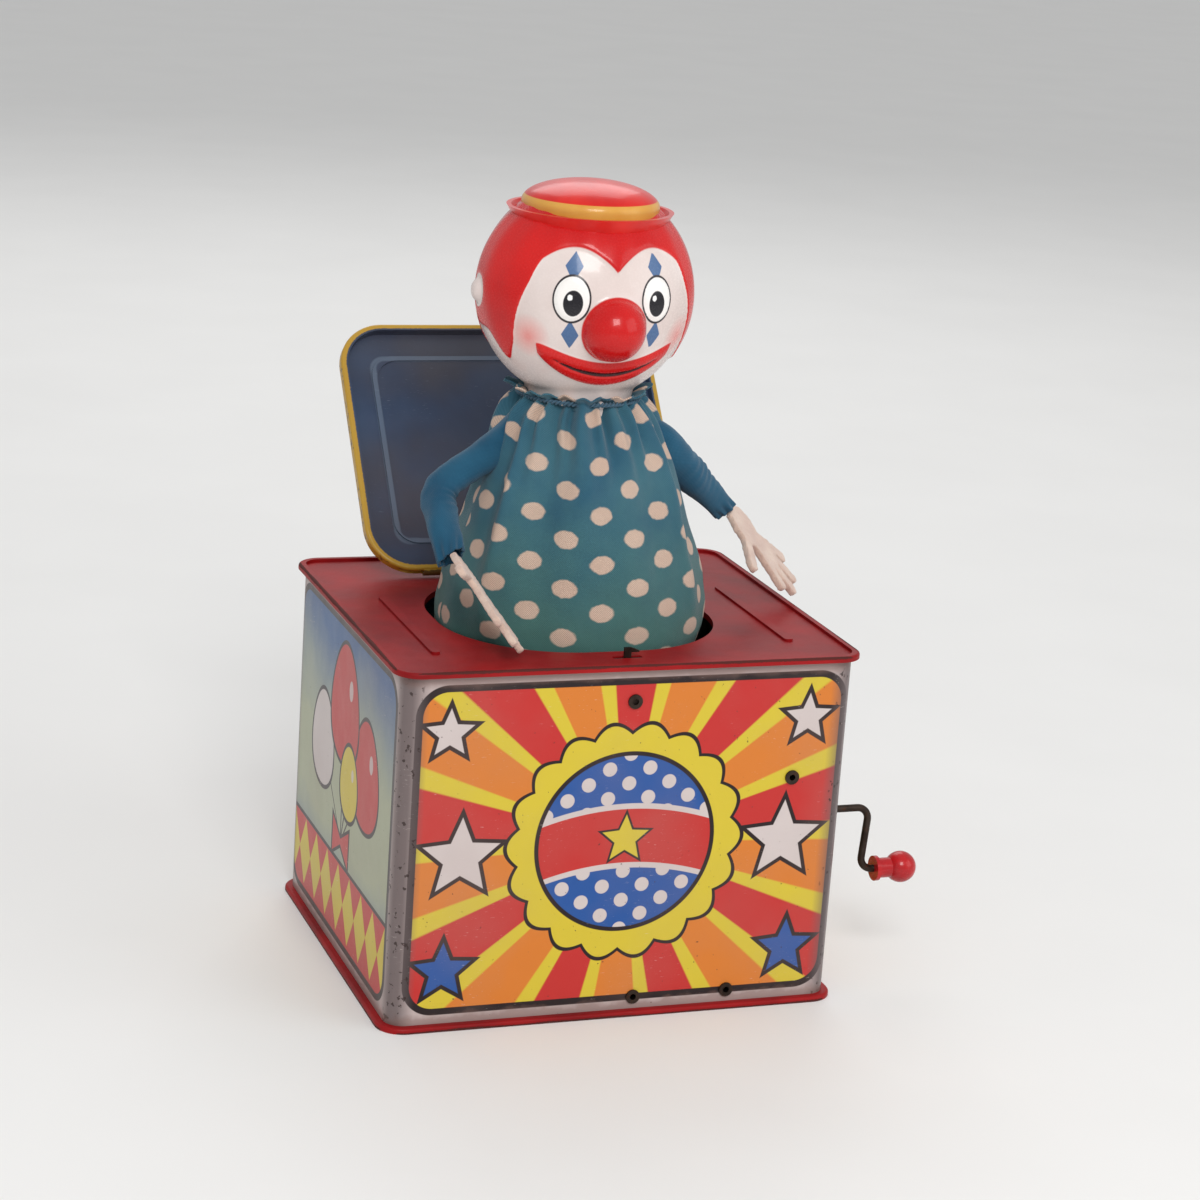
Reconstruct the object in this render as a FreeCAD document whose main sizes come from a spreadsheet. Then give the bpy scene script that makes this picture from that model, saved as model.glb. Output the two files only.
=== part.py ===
"""A tin jack in the box: a pressed steel box with a hinged lid, a crank that turns a music
drum and trips the lid latch, and a clown puppet on a conical spring under a cloth dress.
Millimetres. Origin at the middle of the base underside, +Z up, front wall at -Y, crank at +X."""

import FreeCAD
import Part
import Sketcher
import math
import os
import re
from FreeCAD import Placement, Rotation, Vector

SIZES = {
    # box: two rolled rims with a wrapped wall between them
    "flange_width": 152.0, "flange_depth": 131.0, "box_height": 116.0,
    "tin": 0.5, "overhang": 2.5, "seam_gap": 0.05, "wall_corner": 6.0,
    "rim_height": 1.8, "rim_rise": 1.0, "rim_round": 0.9, "seam_width": 7.0,
    # opening in the top plate with its hemmed edge, and the two stiffening ribs
    "opening_side": 10.7, "opening_x": -2.5, "opening_end": 3.5, "opening_flat": 4.5, "opening_shift": -0.6,
    "hem_width": 0.7, "hem_depth": 2.0,
    "rib_clear": 0.6, "rib_width": 3.0, "rib_short": 23.0, "rib_height": 0.8, "rib_shift": 8.0,
    # lid and hinge
    "lid_side": 19.8, "lid_lap": 0.6, "lid_corner": 16.0, "lid_depth": 4.0,
    "lid_rim": 2.4, "lid_gap": 0.3, "lid_angle": 129.7, "border_inset": 11.0, "border_width": 1.6,
    "border_height": 0.6, "hinge_in": 24.5, "hinge_height": 2.4, "pin_radius": 0.8,
    "knuckle_radius": 1.8, "knuckle_length": 12.0, "knuckle_in": 18.2, "bracket_in": 4.0,
    "bracket_length": 10.0, "bracket_foot": 8.0, "bracket_plate": 0.8, "notch_gap": 0.6, "run_gap": 0.06,
    # lid catch and latch
    "catch_left": 2.6, "catch_width": 5.4, "catch_reach": 4.0, "catch_plate": 0.8, "catch_low": 1.9,
    "latch_in": 9.0, "latch_drop": 11.3, "latch_out": 3.1, "latch_plate": 1.0,
    "hook_gap": 0.3, "hook_rise": 1.5, "hook_reach": 3.7, "arm_half": 1.1, "boss_half": 3.6,
    "tail_drop": 10.0, "tail_half": 1.8,
    "post_radius": 2.0, "latch_slot_width": 9.6, "latch_slot_depth": 2.4, "latch_coil_radius": 3.2,
    "latch_wire": 0.3, "latch_turns": 3, "latch_pitch": 1.4, "latch_leg": 9.0, "latch_coil_in": 1.35,
    # eyelet rivets
    "rivet_radius": 1.6, "rivet_bore": 1.0, "rivet_head": 2.3, "rivet_lip": 0.6,
    "side_rivet_z": 76.4, "foot_rivet_z": 5.8, "foot_rivet_near": 6.3, "foot_rivet_far": 37.9,
    # music movement, placed from the front wall and the side wall
    "frame_plate": 1.0, "frame_width": 25.0, "cheek_below": 11.5, "cheek_above": 5.8, "side_gap": 0.5,
    "foot_height": 12.0, "foot_low": 3.4, "crank_in": 18.5, "crank_z": 57.5, "wire_radius": 1.2,
    "arm_out": 17.5, "arm_lean": 1.5, "crank_throw": 21.5, "bend_radius": 4.0,
    "knob_out": 21.7, "knob_length": 15.0, "stem_radius": 3.3, "ball_radius": 5.2, "grip_length": 11.3,
    "bush_radius": 3.4, "bush_flange": 5.0, "bush_lip": 1.0, "clip_radius": 2.6, "clip_width": 0.9,
    "gear_module": 1.0, "pinion_teeth": 12, "gear_teeth": 36, "pinion_width": 6.0, "gear_width": 5.0,
    "hub_radius": 3.6, "drum_in": 22.5, "drum_radius": 12.0, "pin_rows": 9, "pin_size": 0.8, "pin_root": 0.5,
    "axle_radius": 1.25, "cam_width": 1.6, "cam_radius": 10.0, "cam_gap": 0.6, "lobe_half": 3.0,
    "comb_gap": 0.35, "comb_plate": 0.8, "comb_length": 15.0, "tine_length": 7.4, "tine_gap": 0.45,
    "bridge_depth": 7.0, "bridge_height": 3.0, "screw_radius": 1.0, "screw_head": 1.9, "screw_cap": 1.2,
    "screw_depth": 2.0,
    # puppet mount and spring
    "puppet_x": -5.0, "puppet_set": 2.0, "disc_margin": 6.0, "disc_height": 3.0,
    "spring_in": 12.5, "spring_narrow": 12.0, "spring_wire": 0.8, "spring_turns": 10, "seat_gap": 0.05,
    "strap_span": 4.0, "strap_plate": 0.6, "plug_radius": 14.6, "plug_height": 3.0,
    # head and hat
    "head_z": 220.0, "head_wide": 34.0, "head_deep": 30.0, "head_tall": 34.0, "head_wall": 2.0,
    "neck_radius": 17.0, "neck_bore": 15.0, "neck_set": 2.0, "neck_length": 6.0,
    "nose_radius": 10.0, "nose_rise": 8.0, "nose_drop": 6.5, "ear_radius": 4.5, "ear_x": 32.0, "ear_y": 2.0,
    "brim_low": 23.5, "brim_top": 26.0, "brim_drop": 12.0, "brim_rise": 4.2, "brim_wall": 1.5,
    "brim_floor": 2.6, "crown_radius": 21.5, "crown_rise": 1.0, "glue_gap": 0.05,
    # dress, sleeves and hands
    "cloth": 0.8, "cloth_gap": 0.4, "dress_side": 1.4, "dress_front": 7.0, "hem_out": 3.2,
    "dress_folds": 12, "fold_depth": 1.6,
    "arm_reach": 46.0, "arm_thick": 8.0, "tie_radius": 0.7, "sleeve_gap": 0.3,
    "hand_plate": 2.2, "palm_radius": 8.0, "finger_length": 21.0, "finger_half": 2.1,
    "wrist_length": 8.0, "wrist_half": 4.0,
}

doc = FreeCAD.newDocument("jack_in_the_box")
sheet = doc.addObject("Spreadsheet::Sheet", "Dims")
for row, (alias, value) in enumerate(SIZES.items(), 1):
    sheet.set(f"A{row}", alias)
    sheet.set(f"B{row}", str(value))
    sheet.setAlias(f"B{row}", alias)
doc.recompute()

nodes = []


def size(alias):
    """The number in one cell of the sheet."""
    return float(sheet.get(alias))


def ex(text):
    """A formula in which every alias reads its cell."""
    return re.sub(r"[a-z_]+", lambda m: f"Dims.{m[0]}" if m[0] in SIZES else m[0], text)


def bind(thing, **formulas):
    for prop, text in formulas.items():
        thing.setExpression(prop, ex(text))
    return thing


def put(thing, x="0", y="0", z="0"):
    """Binds the place of an object to three formulas."""
    for axis, text in zip("xyz", (x, y, z)):
        thing.setExpression(f"Placement.Base.{axis}", ex(text))
    return thing


def node(thing, label):
    """Names one sub-part and keeps it for export."""
    thing.Label = label
    nodes.append(thing)
    return thing


ALONG = {"x": Rotation(Vector(0, 1, 0), 90), "y": Rotation(Vector(1, 0, 0), -90), "z": Rotation()}


def block(name, length, width, height, x, y, z):
    """A box from its lowest corner."""
    box = doc.addObject("Part::Box", name)
    bind(box, Length=length, Width=width, Height=height)
    return put(box, x, y, z)


def rod(name, radius, length, x, y, z, along="z"):
    """A cylinder that starts at a point and runs along an axis."""
    bar = doc.addObject("Part::Cylinder", name)
    bar.Placement = Placement(Vector(), ALONG[along])
    bind(bar, Radius=radius, Height=length)
    return put(bar, x, y, z)


def fuse(name, *shapes):
    whole = doc.addObject("Part::MultiFuse", name)
    whole.Shapes = list(shapes)
    return whole


def cut(name, base, *tools):
    whole = doc.addObject("Part::Cut", name)
    whole.Base = base
    whole.Tool = tools[0] if len(tools) == 1 else fuse(name + "_tools", *tools)
    return whole


def group(name, *solids):
    whole = doc.addObject("Part::Compound", name)
    whole.Links = list(solids)
    return whole


def sketch(body, name, role="XY_Plane", x="0", y="0", z="0"):
    """A sketch on one of the body's origin planes, moved by three formulas."""
    flat = body.newObject("Sketcher::SketchObject", name)
    plane = next(f for f in body.Origin.OriginFeatures if f.Role == role)
    flat.AttachmentSupport = [(plane, "")]
    flat.MapMode = "FlatFace"
    for axis, text in zip("xyz", (x, y, z)):
        flat.setExpression(f"AttachmentOffset.Base.{axis}", ex(text))
    return flat


def pin_point(flat, geometry, end, x, y):
    """Fixes one point of a sketch at two formulas from the sketch origin."""
    for kind, text in (("DistanceX", x), ("DistanceY", y)):
        here = flat.getPoint(geometry, end)
        value = here.x if kind == "DistanceX" else here.y
        index = flat.addConstraint(Sketcher.Constraint(kind, -1, 1, geometry, end, value))
        flat.setExpression(f"Constraints[{index}]", ex(text))


def polygon(flat, *corners):
    """A closed outline through corners given as pairs of formulas."""
    count = len(corners)
    angles = [2 * math.pi * i / count for i in range(count)]
    ring = [Vector(math.cos(turn), math.sin(turn), 0) for turn in angles]
    first = flat.GeometryCount
    for i in range(count):
        flat.addGeometry(Part.LineSegment(ring[i], ring[(i + 1) % count]))
    for i in range(count):
        flat.addConstraint(Sketcher.Constraint("Coincident", first + i, 2, first + (i + 1) % count, 1))
    for i, (x, y) in enumerate(corners):
        pin_point(flat, first + i, 1, x, y)


def circle(flat, radius, x="0", y="0"):
    index = flat.addGeometry(Part.Circle(Vector(0, 0, 0), Vector(0, 0, 1), 1))
    pin_point(flat, index, 3, x, y)
    ruled = flat.addConstraint(Sketcher.Constraint("Radius", index, 1.0))
    flat.setExpression(f"Constraints[{ruled}]", ex(radius))


def rounded(flat, width, depth, radius, x="0", y="0"):
    """A rectangle with four round corners about a centre."""
    first = flat.GeometryCount
    signs = ((1, 1), (-1, 1), (-1, -1), (1, -1))
    for i, (sx, sy) in enumerate(signs):
        turn = i * math.pi / 2
        edge = Part.Circle(Vector(20 * sx, 20 * sy, 0), Vector(0, 0, 1), 5)
        flat.addGeometry(Part.ArcOfCircle(edge, turn, turn + math.pi / 2))
    for i in range(4):
        start = flat.getPoint(first + i, 2)
        flat.addGeometry(Part.LineSegment(start, flat.getPoint(first + (i + 1) % 4, 1)))
    for i, (sx, sy) in enumerate(signs):
        arc, line = first + i, first + 4 + i
        flat.addConstraint(Sketcher.Constraint("Coincident", arc, 2, line, 1))
        flat.addConstraint(Sketcher.Constraint("Coincident", line, 2, first + (i + 1) % 4, 1))
        level, upright = (1, 2) if i % 2 == 0 else (2, 1)
        flat.addConstraint(Sketcher.Constraint("Horizontal", arc, 3, arc, level))
        flat.addConstraint(Sketcher.Constraint("Vertical", arc, 3, arc, upright))
        ruled = flat.addConstraint(Sketcher.Constraint("Radius", arc, 5.0))
        flat.setExpression(f"Constraints[{ruled}]", ex(radius))
        pin_point(flat, arc, 3, f"({x}) + ({sx}) * (({width}) / 2 - ({radius}))",
                  f"({y}) + ({sy}) * (({depth}) / 2 - ({radius}))")


def pad(body, flat, length, kind="PartDesign::Pad"):
    step = body.newObject(kind, flat.Name + "_step")
    step.Profile = flat
    bind(step, Length=length)
    flat.Visibility = False
    return step


def round_outline(body, name, radius, level):
    """Rounds the outer outline of the flat face at one height of a body."""
    doc.recompute()
    tip = body.Tip
    boxes = [(face, face.BoundBox) for face in tip.Shape.Faces]
    faces = [face for face, box in boxes if box.ZLength < 1e-6 and abs(box.ZMin - level) < 1e-6]
    outline = max(faces, key=lambda f: f.OuterWire.Length).OuterWire.Edges
    names = [f"Edge{i}" for i, e in enumerate(tip.Shape.Edges, 1) if any(e.isSame(o) for o in outline)]
    soft = body.newObject("PartDesign::Fillet", name)
    soft.Base = (tip, names)
    bind(soft, Radius=radius)


WALL_WIDTH = "(flange_width - 2 * overhang)"
WALL_DEPTH = "(flange_depth - 2 * overhang)"
RIM_CORNER = "(wall_corner + overhang)"
PANEL_TOP = "(box_height - rim_rise)"
WALL_FRONT = "(overhang - flange_depth / 2)"
FRONT_IN = f"({WALL_FRONT} + tin)"
HINGE_Z = "(box_height - rim_rise + hinge_height)"
HINGE_Y = "(flange_depth / 2 - hinge_in)"
LATCH_Y = f"({FRONT_IN} + latch_in)"
LID_REACH = f"({HINGE_Y} - {LATCH_Y} - latch_out)"
LID_WIDTH = "(flange_width - 2 * lid_side)"
LID_LENGTH = f"({LID_REACH} + lid_lap)"
KNUCKLE_X = f"({LID_WIDTH} / 2 - knuckle_in - knuckle_length)"
BRACKET_X = f"({KNUCKLE_X} - bracket_in - bracket_length)"
OPENING_Y = f"({HINGE_Y} - ({LID_REACH} - lid_lap) / 2 + opening_shift)"
OPENING_WIDTH = f"({LID_WIDTH} - 2 * opening_side)"
OPENING_DEPTH = f"({LID_LENGTH} - 2 * opening_end)"
OPENING_CORNER = f"({OPENING_DEPTH} / 2 - opening_flat)"
SPRING_WIDE = f"({OPENING_DEPTH} / 2 - spring_in)"
LATCH_Z = "(box_height - rim_rise - latch_drop)"
WALL_X = "(flange_width / 2 - overhang)"
FRAME_LEFT = f"({WALL_X} - tin - wall_corner - frame_width)"
CRANK_Y = f"({FRONT_IN} + crank_in)"
DRUM_Y = f"({FRONT_IN} + drum_in)"
DRUM_Z = "(crank_z + sqrt((gear_module * (pinion_teeth + gear_teeth) / 2) ^ 2 - (drum_in - crank_in) ^ 2))"
CAM_LEFT = f"({FRAME_LEFT} + frame_plate + side_gap)"
DRUM_LEFT = f"({CAM_LEFT} + cam_width + side_gap)"
PINION_LEFT = f"({FRAME_LEFT} + frame_width - frame_plate - side_gap - pinion_width)"
DRUM_LENGTH = f"({PINION_LEFT} - side_gap - {DRUM_LEFT})"
PUPPET_Y = f"({OPENING_Y} - puppet_set)"
NECK_Z = "(head_z - head_tall + neck_set)"


def rim_ring(body, name, low, high):
    """A rolled rim that hugs the wall from outside."""
    flat = sketch(body, name, z=low)
    rounded(flat, "flange_width", "flange_depth", RIM_CORNER)
    rounded(flat, f"{WALL_WIDTH} + 2 * seam_gap", f"{WALL_DEPTH} + 2 * seam_gap", "wall_corner + seam_gap")
    pad(body, flat, f"{high} - ({low})")


# Base plate: a flat floor inside a rolled rim.
base = doc.addObject("PartDesign::Body", "base_body")
floor = sketch(base, "base_floor")
rounded(floor, "flange_width", "flange_depth", RIM_CORNER)
pad(base, floor, "tin")
rim_ring(base, "base_rim", "0", "rim_height")
round_outline(base, "base_round", "rim_round", size("rim_height"))
node(base, "base_plate")

# Wrapped wall: one sheet with round corners, lock-seamed at the back, pierced for the rivets and the crank.
wall = doc.addObject("PartDesign::Body", "wall_body")
wrap = sketch(wall, "wall_wrap", z="tin")
rounded(wrap, WALL_WIDTH, WALL_DEPTH, "wall_corner")
rounded(wrap, f"{WALL_WIDTH} - 2 * tin", f"{WALL_DEPTH} - 2 * tin", "wall_corner - tin")
pad(wall, wrap, f"{PANEL_TOP} - 2 * tin")
lock = sketch(wall, "wall_lock", z="rim_height + 1")
rounded(lock, "seam_width", "2 * tin", "tin / 2", y=f"{WALL_DEPTH} / 2")
pad(wall, lock, "box_height - 2 * rim_height - 2")
RIVETS = {
    "side": (f"{FRAME_LEFT} + frame_width / 2", "side_rivet_z"),
    "near": ("foot_rivet_near", "foot_rivet_z"),
    "far": ("foot_rivet_far", "foot_rivet_z"),
}
pierced = []
for tag, (x, z) in {**RIVETS, "latch": ("0", LATCH_Z)}.items():
    pierced.append(rod(f"wall_hole_{tag}", "rivet_radius + seam_gap", "3 * overhang",
                       x, "-flange_depth / 2", z, "y"))
pierced.append(rod("wall_hole_crank", "bush_radius + seam_gap", "2 * overhang",
                   "flange_width / 2 - 2 * overhang", CRANK_Y, "crank_z", "x"))
node(cut("wall_pierced", wall, *pierced), "box_wrap")

# Top plate: panel with the opening and the latch slot, rim, hemmed opening edge and two ribs.
top = doc.addObject("PartDesign::Body", "top_body")
panel = sketch(top, "top_panel", z=f"{PANEL_TOP} - tin")
rounded(panel, "flange_width", "flange_depth", RIM_CORNER)
rounded(panel, OPENING_WIDTH, OPENING_DEPTH, OPENING_CORNER, x="opening_x", y=OPENING_Y)
rounded(panel, "latch_slot_width", "latch_slot_depth", "latch_slot_depth / 3", y=LATCH_Y)
pad(top, panel, "tin")
rim_ring(top, "top_rim", "box_height - rim_height", "box_height")
round_outline(top, "top_round", "rim_round", size("box_height"))
hem = sketch(top, "top_hem", z=f"{PANEL_TOP} - hem_depth")
rounded(hem, f"{OPENING_WIDTH} + 2 * hem_width", f"{OPENING_DEPTH} + 2 * hem_width",
        f"{OPENING_CORNER} + hem_width", x="opening_x", y=OPENING_Y)
rounded(hem, OPENING_WIDTH, OPENING_DEPTH, OPENING_CORNER, x="opening_x", y=OPENING_Y)
pad(top, hem, "hem_depth")
ribs = sketch(top, "top_ribs", z=f"{PANEL_TOP} - tin / 2")
for side in ("", "-"):
    rounded(ribs, "rib_width", f"{OPENING_DEPTH} - rib_short", "rib_width * 0.45",
            x=f"{side}({LID_WIDTH} / 2 + rib_clear + rib_width / 2)", y=f"{OPENING_Y} - rib_shift")
pad(top, ribs, "rib_height + tin / 2")
node(top, "top_plate")

# Lid, drawn shut with the hinge axis as its origin: panel, rolled rim, pressed border and two knuckles,
# with a notch in its back edge for each hinge bracket.
LID_LOW = "(lid_gap - hinge_height)"
LID_MIDDLE = f"(-({LID_REACH} - lid_lap) / 2)"
lid_body = doc.addObject("PartDesign::Body", "lid_body")
cover = sketch(lid_body, "lid_cover", z=f"{LID_LOW} + lid_depth - tin")
rounded(cover, LID_WIDTH, LID_LENGTH, "lid_corner", y=LID_MIDDLE)
pad(lid_body, cover, "tin")
edge = sketch(lid_body, "lid_edge", z=LID_LOW)
rounded(edge, LID_WIDTH, LID_LENGTH, "lid_corner", y=LID_MIDDLE)
rounded(edge, f"{LID_WIDTH} - 2 * lid_rim", f"{LID_LENGTH} - 2 * lid_rim", "lid_corner - lid_rim",
        y=LID_MIDDLE)
pad(lid_body, edge, "lid_depth")
lid_low = size("lid_gap") - size("hinge_height")
round_outline(lid_body, "lid_round_top", "rim_round", lid_low + size("lid_depth"))
round_outline(lid_body, "lid_round_low", "rim_round", lid_low)
border = sketch(lid_body, "lid_border", z=f"{LID_LOW} + lid_depth - tin - border_height")
for inset in ("border_inset", "(border_inset + border_width)"):
    rounded(border, f"{LID_WIDTH} - 2 * {inset}", f"{LID_LENGTH} - 2 * {inset}", "lid_corner * 0.5",
            y=LID_MIDDLE)
pad(lid_body, border, "border_height + tin / 2")
knuckles = []
for side, x in (("right", KNUCKLE_X), ("left", f"-{KNUCKLE_X} - knuckle_length")):
    knuckles.append(rod(f"knuckle_{side}", "knuckle_radius", "knuckle_length", x, "0", "0", "x"))
lid_whole = fuse("lid_whole", lid_body, *knuckles)
lid_room = [rod("pin_room", "pin_radius + run_gap", LID_WIDTH, f"-{LID_WIDTH} / 2", "0", "0", "x")]
for side, x in (("right", BRACKET_X), ("left", f"-{BRACKET_X} - bracket_length")):
    lid_room.append(block(f"lid_notch_{side}", "bracket_length + 2 * notch_gap",
                          "2 * (knuckle_radius + notch_gap)", "2 * lid_depth",
                          f"{x} - notch_gap", "-knuckle_radius - notch_gap", "-lid_depth"))
lid = cut("lid_bored", lid_whole, *lid_room)
lid_swing = Placement(Vector(), Rotation(Vector(1, 0, 0), -size("lid_angle")))
lid.Placement = lid_swing
node(put(lid, y=HINGE_Y, z=HINGE_Z), "lid")

# Catch: a small angle on the front edge of the lid that the latch hook holds down.
tongue = block("catch_tongue", "catch_width", "catch_reach", "catch_plate",
               "catch_left", f"-{LID_REACH} - catch_reach", "-catch_low")
leg = block("catch_leg", "catch_width", "catch_plate", "catch_low",
            "catch_left", f"-{LID_REACH} - catch_plate", "-catch_low")
catch = fuse("catch_whole", tongue, leg)
catch.Placement = lid_swing
node(put(catch, y=HINGE_Y, z=HINGE_Z), "lid_catch")

# Hinge: a pin through two brackets that stand on the top plate.
node(rod("pin_rod", "pin_radius", f"2 * ({KNUCKLE_X} + knuckle_length)", f"-{KNUCKLE_X} - knuckle_length",
         HINGE_Y, HINGE_Z, "x"), "hinge_pin")
for side, x in (("right", BRACKET_X), ("left", f"-{BRACKET_X} - bracket_length")):
    ear = rod(f"bracket_ear_{side}", "knuckle_radius", "bracket_length", x, HINGE_Y, HINGE_Z, "x")
    stem = block(f"bracket_stem_{side}", "bracket_length", "2 * knuckle_radius", "hinge_height",
                 x, f"{HINGE_Y} - knuckle_radius", PANEL_TOP)
    foot = block(f"bracket_foot_{side}", "bracket_length", "bracket_foot", "bracket_plate",
                 x, HINGE_Y, PANEL_TOP)
    whole = fuse(f"bracket_whole_{side}", ear, stem, foot)
    bore = rod(f"bracket_bore_{side}", "pin_radius + seam_gap / 2", "2 * bracket_length",
               f"{x} - bracket_length / 2", HINGE_Y, HINGE_Z, "x")
    node(cut(f"bracket_{side}", whole, bore), f"hinge_bracket_{side}")

# Latch: a bell crank on a post behind the front wall, its hook up through the plate, its tail over the cam.
HOOK_LOW = "(latch_drop + hinge_height - catch_low + catch_plate + hook_gap)"
TAIL_REACH = f"({CAM_LEFT} + cam_width + 2)"
latch = doc.addObject("PartDesign::Body", "latch_body")
lever = sketch(latch, "latch_outline", "XZ_Plane")
polygon(
    lever,
    ("-boss_half", "-boss_half"), ("boss_half", "-boss_half"),
    (TAIL_REACH, "-tail_drop - tail_half"), (TAIL_REACH, "tail_half - tail_drop"),
    ("boss_half", "boss_half"), ("arm_half", "2 * boss_half"), ("arm_half", HOOK_LOW),
    ("hook_reach", HOOK_LOW), ("hook_reach", f"{HOOK_LOW} + hook_rise / 3"),
    ("arm_half", f"{HOOK_LOW} + hook_rise"), ("-arm_half", f"{HOOK_LOW} + hook_rise"),
    ("-arm_half", "2 * boss_half"), ("-boss_half", "boss_half"),
)
circle(lever, "post_radius + run_gap")
pad(latch, lever, "latch_plate").Midplane = True
node(put(latch, y=LATCH_Y, z=LATCH_Z), "latch_lever")

# Latch post: an eyelet head outside, a plain post for the lever and a cap that keeps it on.
POST_END = f"({LATCH_Y} + latch_plate / 2 + run_gap)"
post = fuse(
    "post_whole",
    rod("post_head", "rivet_head", "rivet_lip", "0", f"{WALL_FRONT} - rivet_lip", LATCH_Z, "y"),
    rod("post_shank", "rivet_radius", "2 * tin", "0", f"{WALL_FRONT} - rivet_lip / 2", LATCH_Z, "y"),
    rod("post_bar", "post_radius", f"{POST_END} - {FRONT_IN}", "0", FRONT_IN, LATCH_Z, "y"),
    rod("post_cap", "post_radius * 1.5", "rivet_lip", "0", POST_END, LATCH_Z, "y"),
)
post_bore = rod("post_bore", "rivet_bore", "2 * rivet_lip",
                "0", f"{WALL_FRONT} - 1.5 * rivet_lip", LATCH_Z, "y")
node(cut("post_drilled", post, post_bore), "latch_post")


def arc_from(start, heading, finish):
    """The arc that leaves a point along a heading and ends at another point."""
    chord = finish - start
    length = chord.Length
    along = chord / length
    swing = math.acos(max(-1.0, min(1.0, heading.dot(along))))
    side = heading - along * heading.dot(along)
    if swing < 1e-6:
        return Part.LineSegment(start, finish).toShape()
    side.normalize()
    crown = (start + finish) / 2 + side * (length / 2 * math.tan(swing / 2))
    return Part.Arc(start, crown, finish).toShape()


def biarc(start, heading, finish, ending):
    """Two arcs that join two points and meet both headings."""
    chord = finish - start
    sum_way = heading + ending
    lack = 2 * (1 - heading.dot(ending))
    mixed = chord.dot(sum_way)
    reach = (math.sqrt(mixed ** 2 + lack * chord.dot(chord)) - mixed) / lack
    joint = (start + finish + (heading - ending) * reach) / 2
    first = arc_from(start, heading, joint)
    turn = (joint - start).normalize()
    meet = turn * 2 * heading.dot(turn) - heading
    return [first, arc_from(joint, meet, finish)]


def coil(centre, low, high, wide, narrow, turns):
    """Edges of a conical helix as biarcs of a quarter turn, with its two end points and headings."""
    steps = int(round(4 * turns))
    def spot(i):
        share, angle = i / steps, i * math.pi / 2
        radius = wide + (narrow - wide) * share
        away = Vector(math.cos(angle), math.sin(angle), 0) * radius
        return centre + away + Vector(0, 0, low + (high - low) * share)
    def heading(i):
        share, angle = i / steps, i * math.pi / 2
        radius = wide + (narrow - wide) * share
        fade = (narrow - wide) / (turns * 2 * math.pi)
        rise = (high - low) / (turns * 2 * math.pi)
        way = Vector(fade * math.cos(angle) - radius * math.sin(angle),
                     fade * math.sin(angle) + radius * math.cos(angle), rise)
        return way.normalize()
    edges = []
    for i in range(steps):
        edges += biarc(spot(i), heading(i), spot(i + 1), heading(i + 1))
    return edges, spot(0), heading(0), spot(steps), heading(steps)


def tube(edges, radius, start, heading):
    """One unbroken round wire along joined edges."""
    shell = Part.BRepOffsetAPI.MakePipeShell(Part.Wire(edges))
    shell.add(Part.Wire([Part.Circle(start, heading, radius).toShape()]))
    shell.build()
    shell.makeSolid()
    return shell.shape()


def feature(name, shape, label, place=Placement()):
    """A sub-part whose form neither sketches nor primitives give."""
    thing = doc.addObject("Part::Feature", name)
    thing.Shape = shape
    thing.Placement = place
    return node(thing, label)


# Latch spring: three turns round the post with a straight leg at each end.
turns, pitch = size("latch_turns"), size("latch_pitch")
spring_edges, first_spot, first_way, last_spot, last_way = coil(
    Vector(), 0, turns * pitch, size("latch_coil_radius"), size("latch_coil_radius"), turns)
leg_start = first_spot - first_way * size("latch_leg")
leg_end = last_spot + last_way * size("latch_leg")
spring_edges = [Part.LineSegment(leg_start, first_spot).toShape(), *spring_edges,
                Part.LineSegment(last_spot, leg_end).toShape()]
wall_in = size("overhang") + size("tin") - size("flange_depth") / 2
latch_z = size("box_height") - size("rim_rise") - size("latch_drop")
coil_place = Placement(Vector(0, wall_in + size("latch_coil_in"), latch_z), ALONG["y"])
latch_coil = tube(spring_edges, size("latch_wire"), leg_start, first_way)
feature("latch_coil", latch_coil, "latch_spring", coil_place)

# Music frame: a web behind the front wall with a foot strip and two cheeks that carry the shafts.
COMB_TIP = f"({DRUM_Y} + drum_radius + pin_size + comb_gap)"
FRAME_LOW = "(crank_z - cheek_below)"
FRAME_HIGH = f"({DRUM_Z} + cheek_above)"
web = block("frame_web", "frame_width", "frame_plate", f"{FRAME_HIGH} - foot_low",
            FRAME_LEFT, FRONT_IN, "foot_low")
strip = block("frame_strip", f"{FRAME_LEFT} + frame_width", "frame_plate", "foot_height - foot_low",
              "0", FRONT_IN, "foot_low")
cheeks = [block(f"frame_cheek_{side}", "frame_plate", f"{COMB_TIP} + comb_length + 1 - {FRONT_IN}",
                f"{FRAME_HIGH} - {FRAME_LOW}", x, FRONT_IN, FRAME_LOW)
          for side, x in (("left", FRAME_LEFT), ("right", f"{FRAME_LEFT} + frame_width - frame_plate"))]
frame_holes = [
    rod("frame_crank_hole", "wire_radius + run_gap", "2 * frame_width",
        f"{FRAME_LEFT} - frame_width / 2", CRANK_Y, "crank_z", "x"),
    rod("frame_axle_hole", "axle_radius + seam_gap / 2", "2 * frame_width",
        f"{FRAME_LEFT} - frame_width / 2", DRUM_Y, DRUM_Z, "x"),
]
for tag, (x, z) in RIVETS.items():
    frame_holes.append(rod(f"frame_hole_{tag}", "rivet_radius + seam_gap", "3 * frame_plate", x,
                           f"{FRONT_IN} - frame_plate", z, "y"))
node(cut("frame_bored", fuse("frame_whole", web, strip, *cheeks), *frame_holes), "music_frame")

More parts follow.
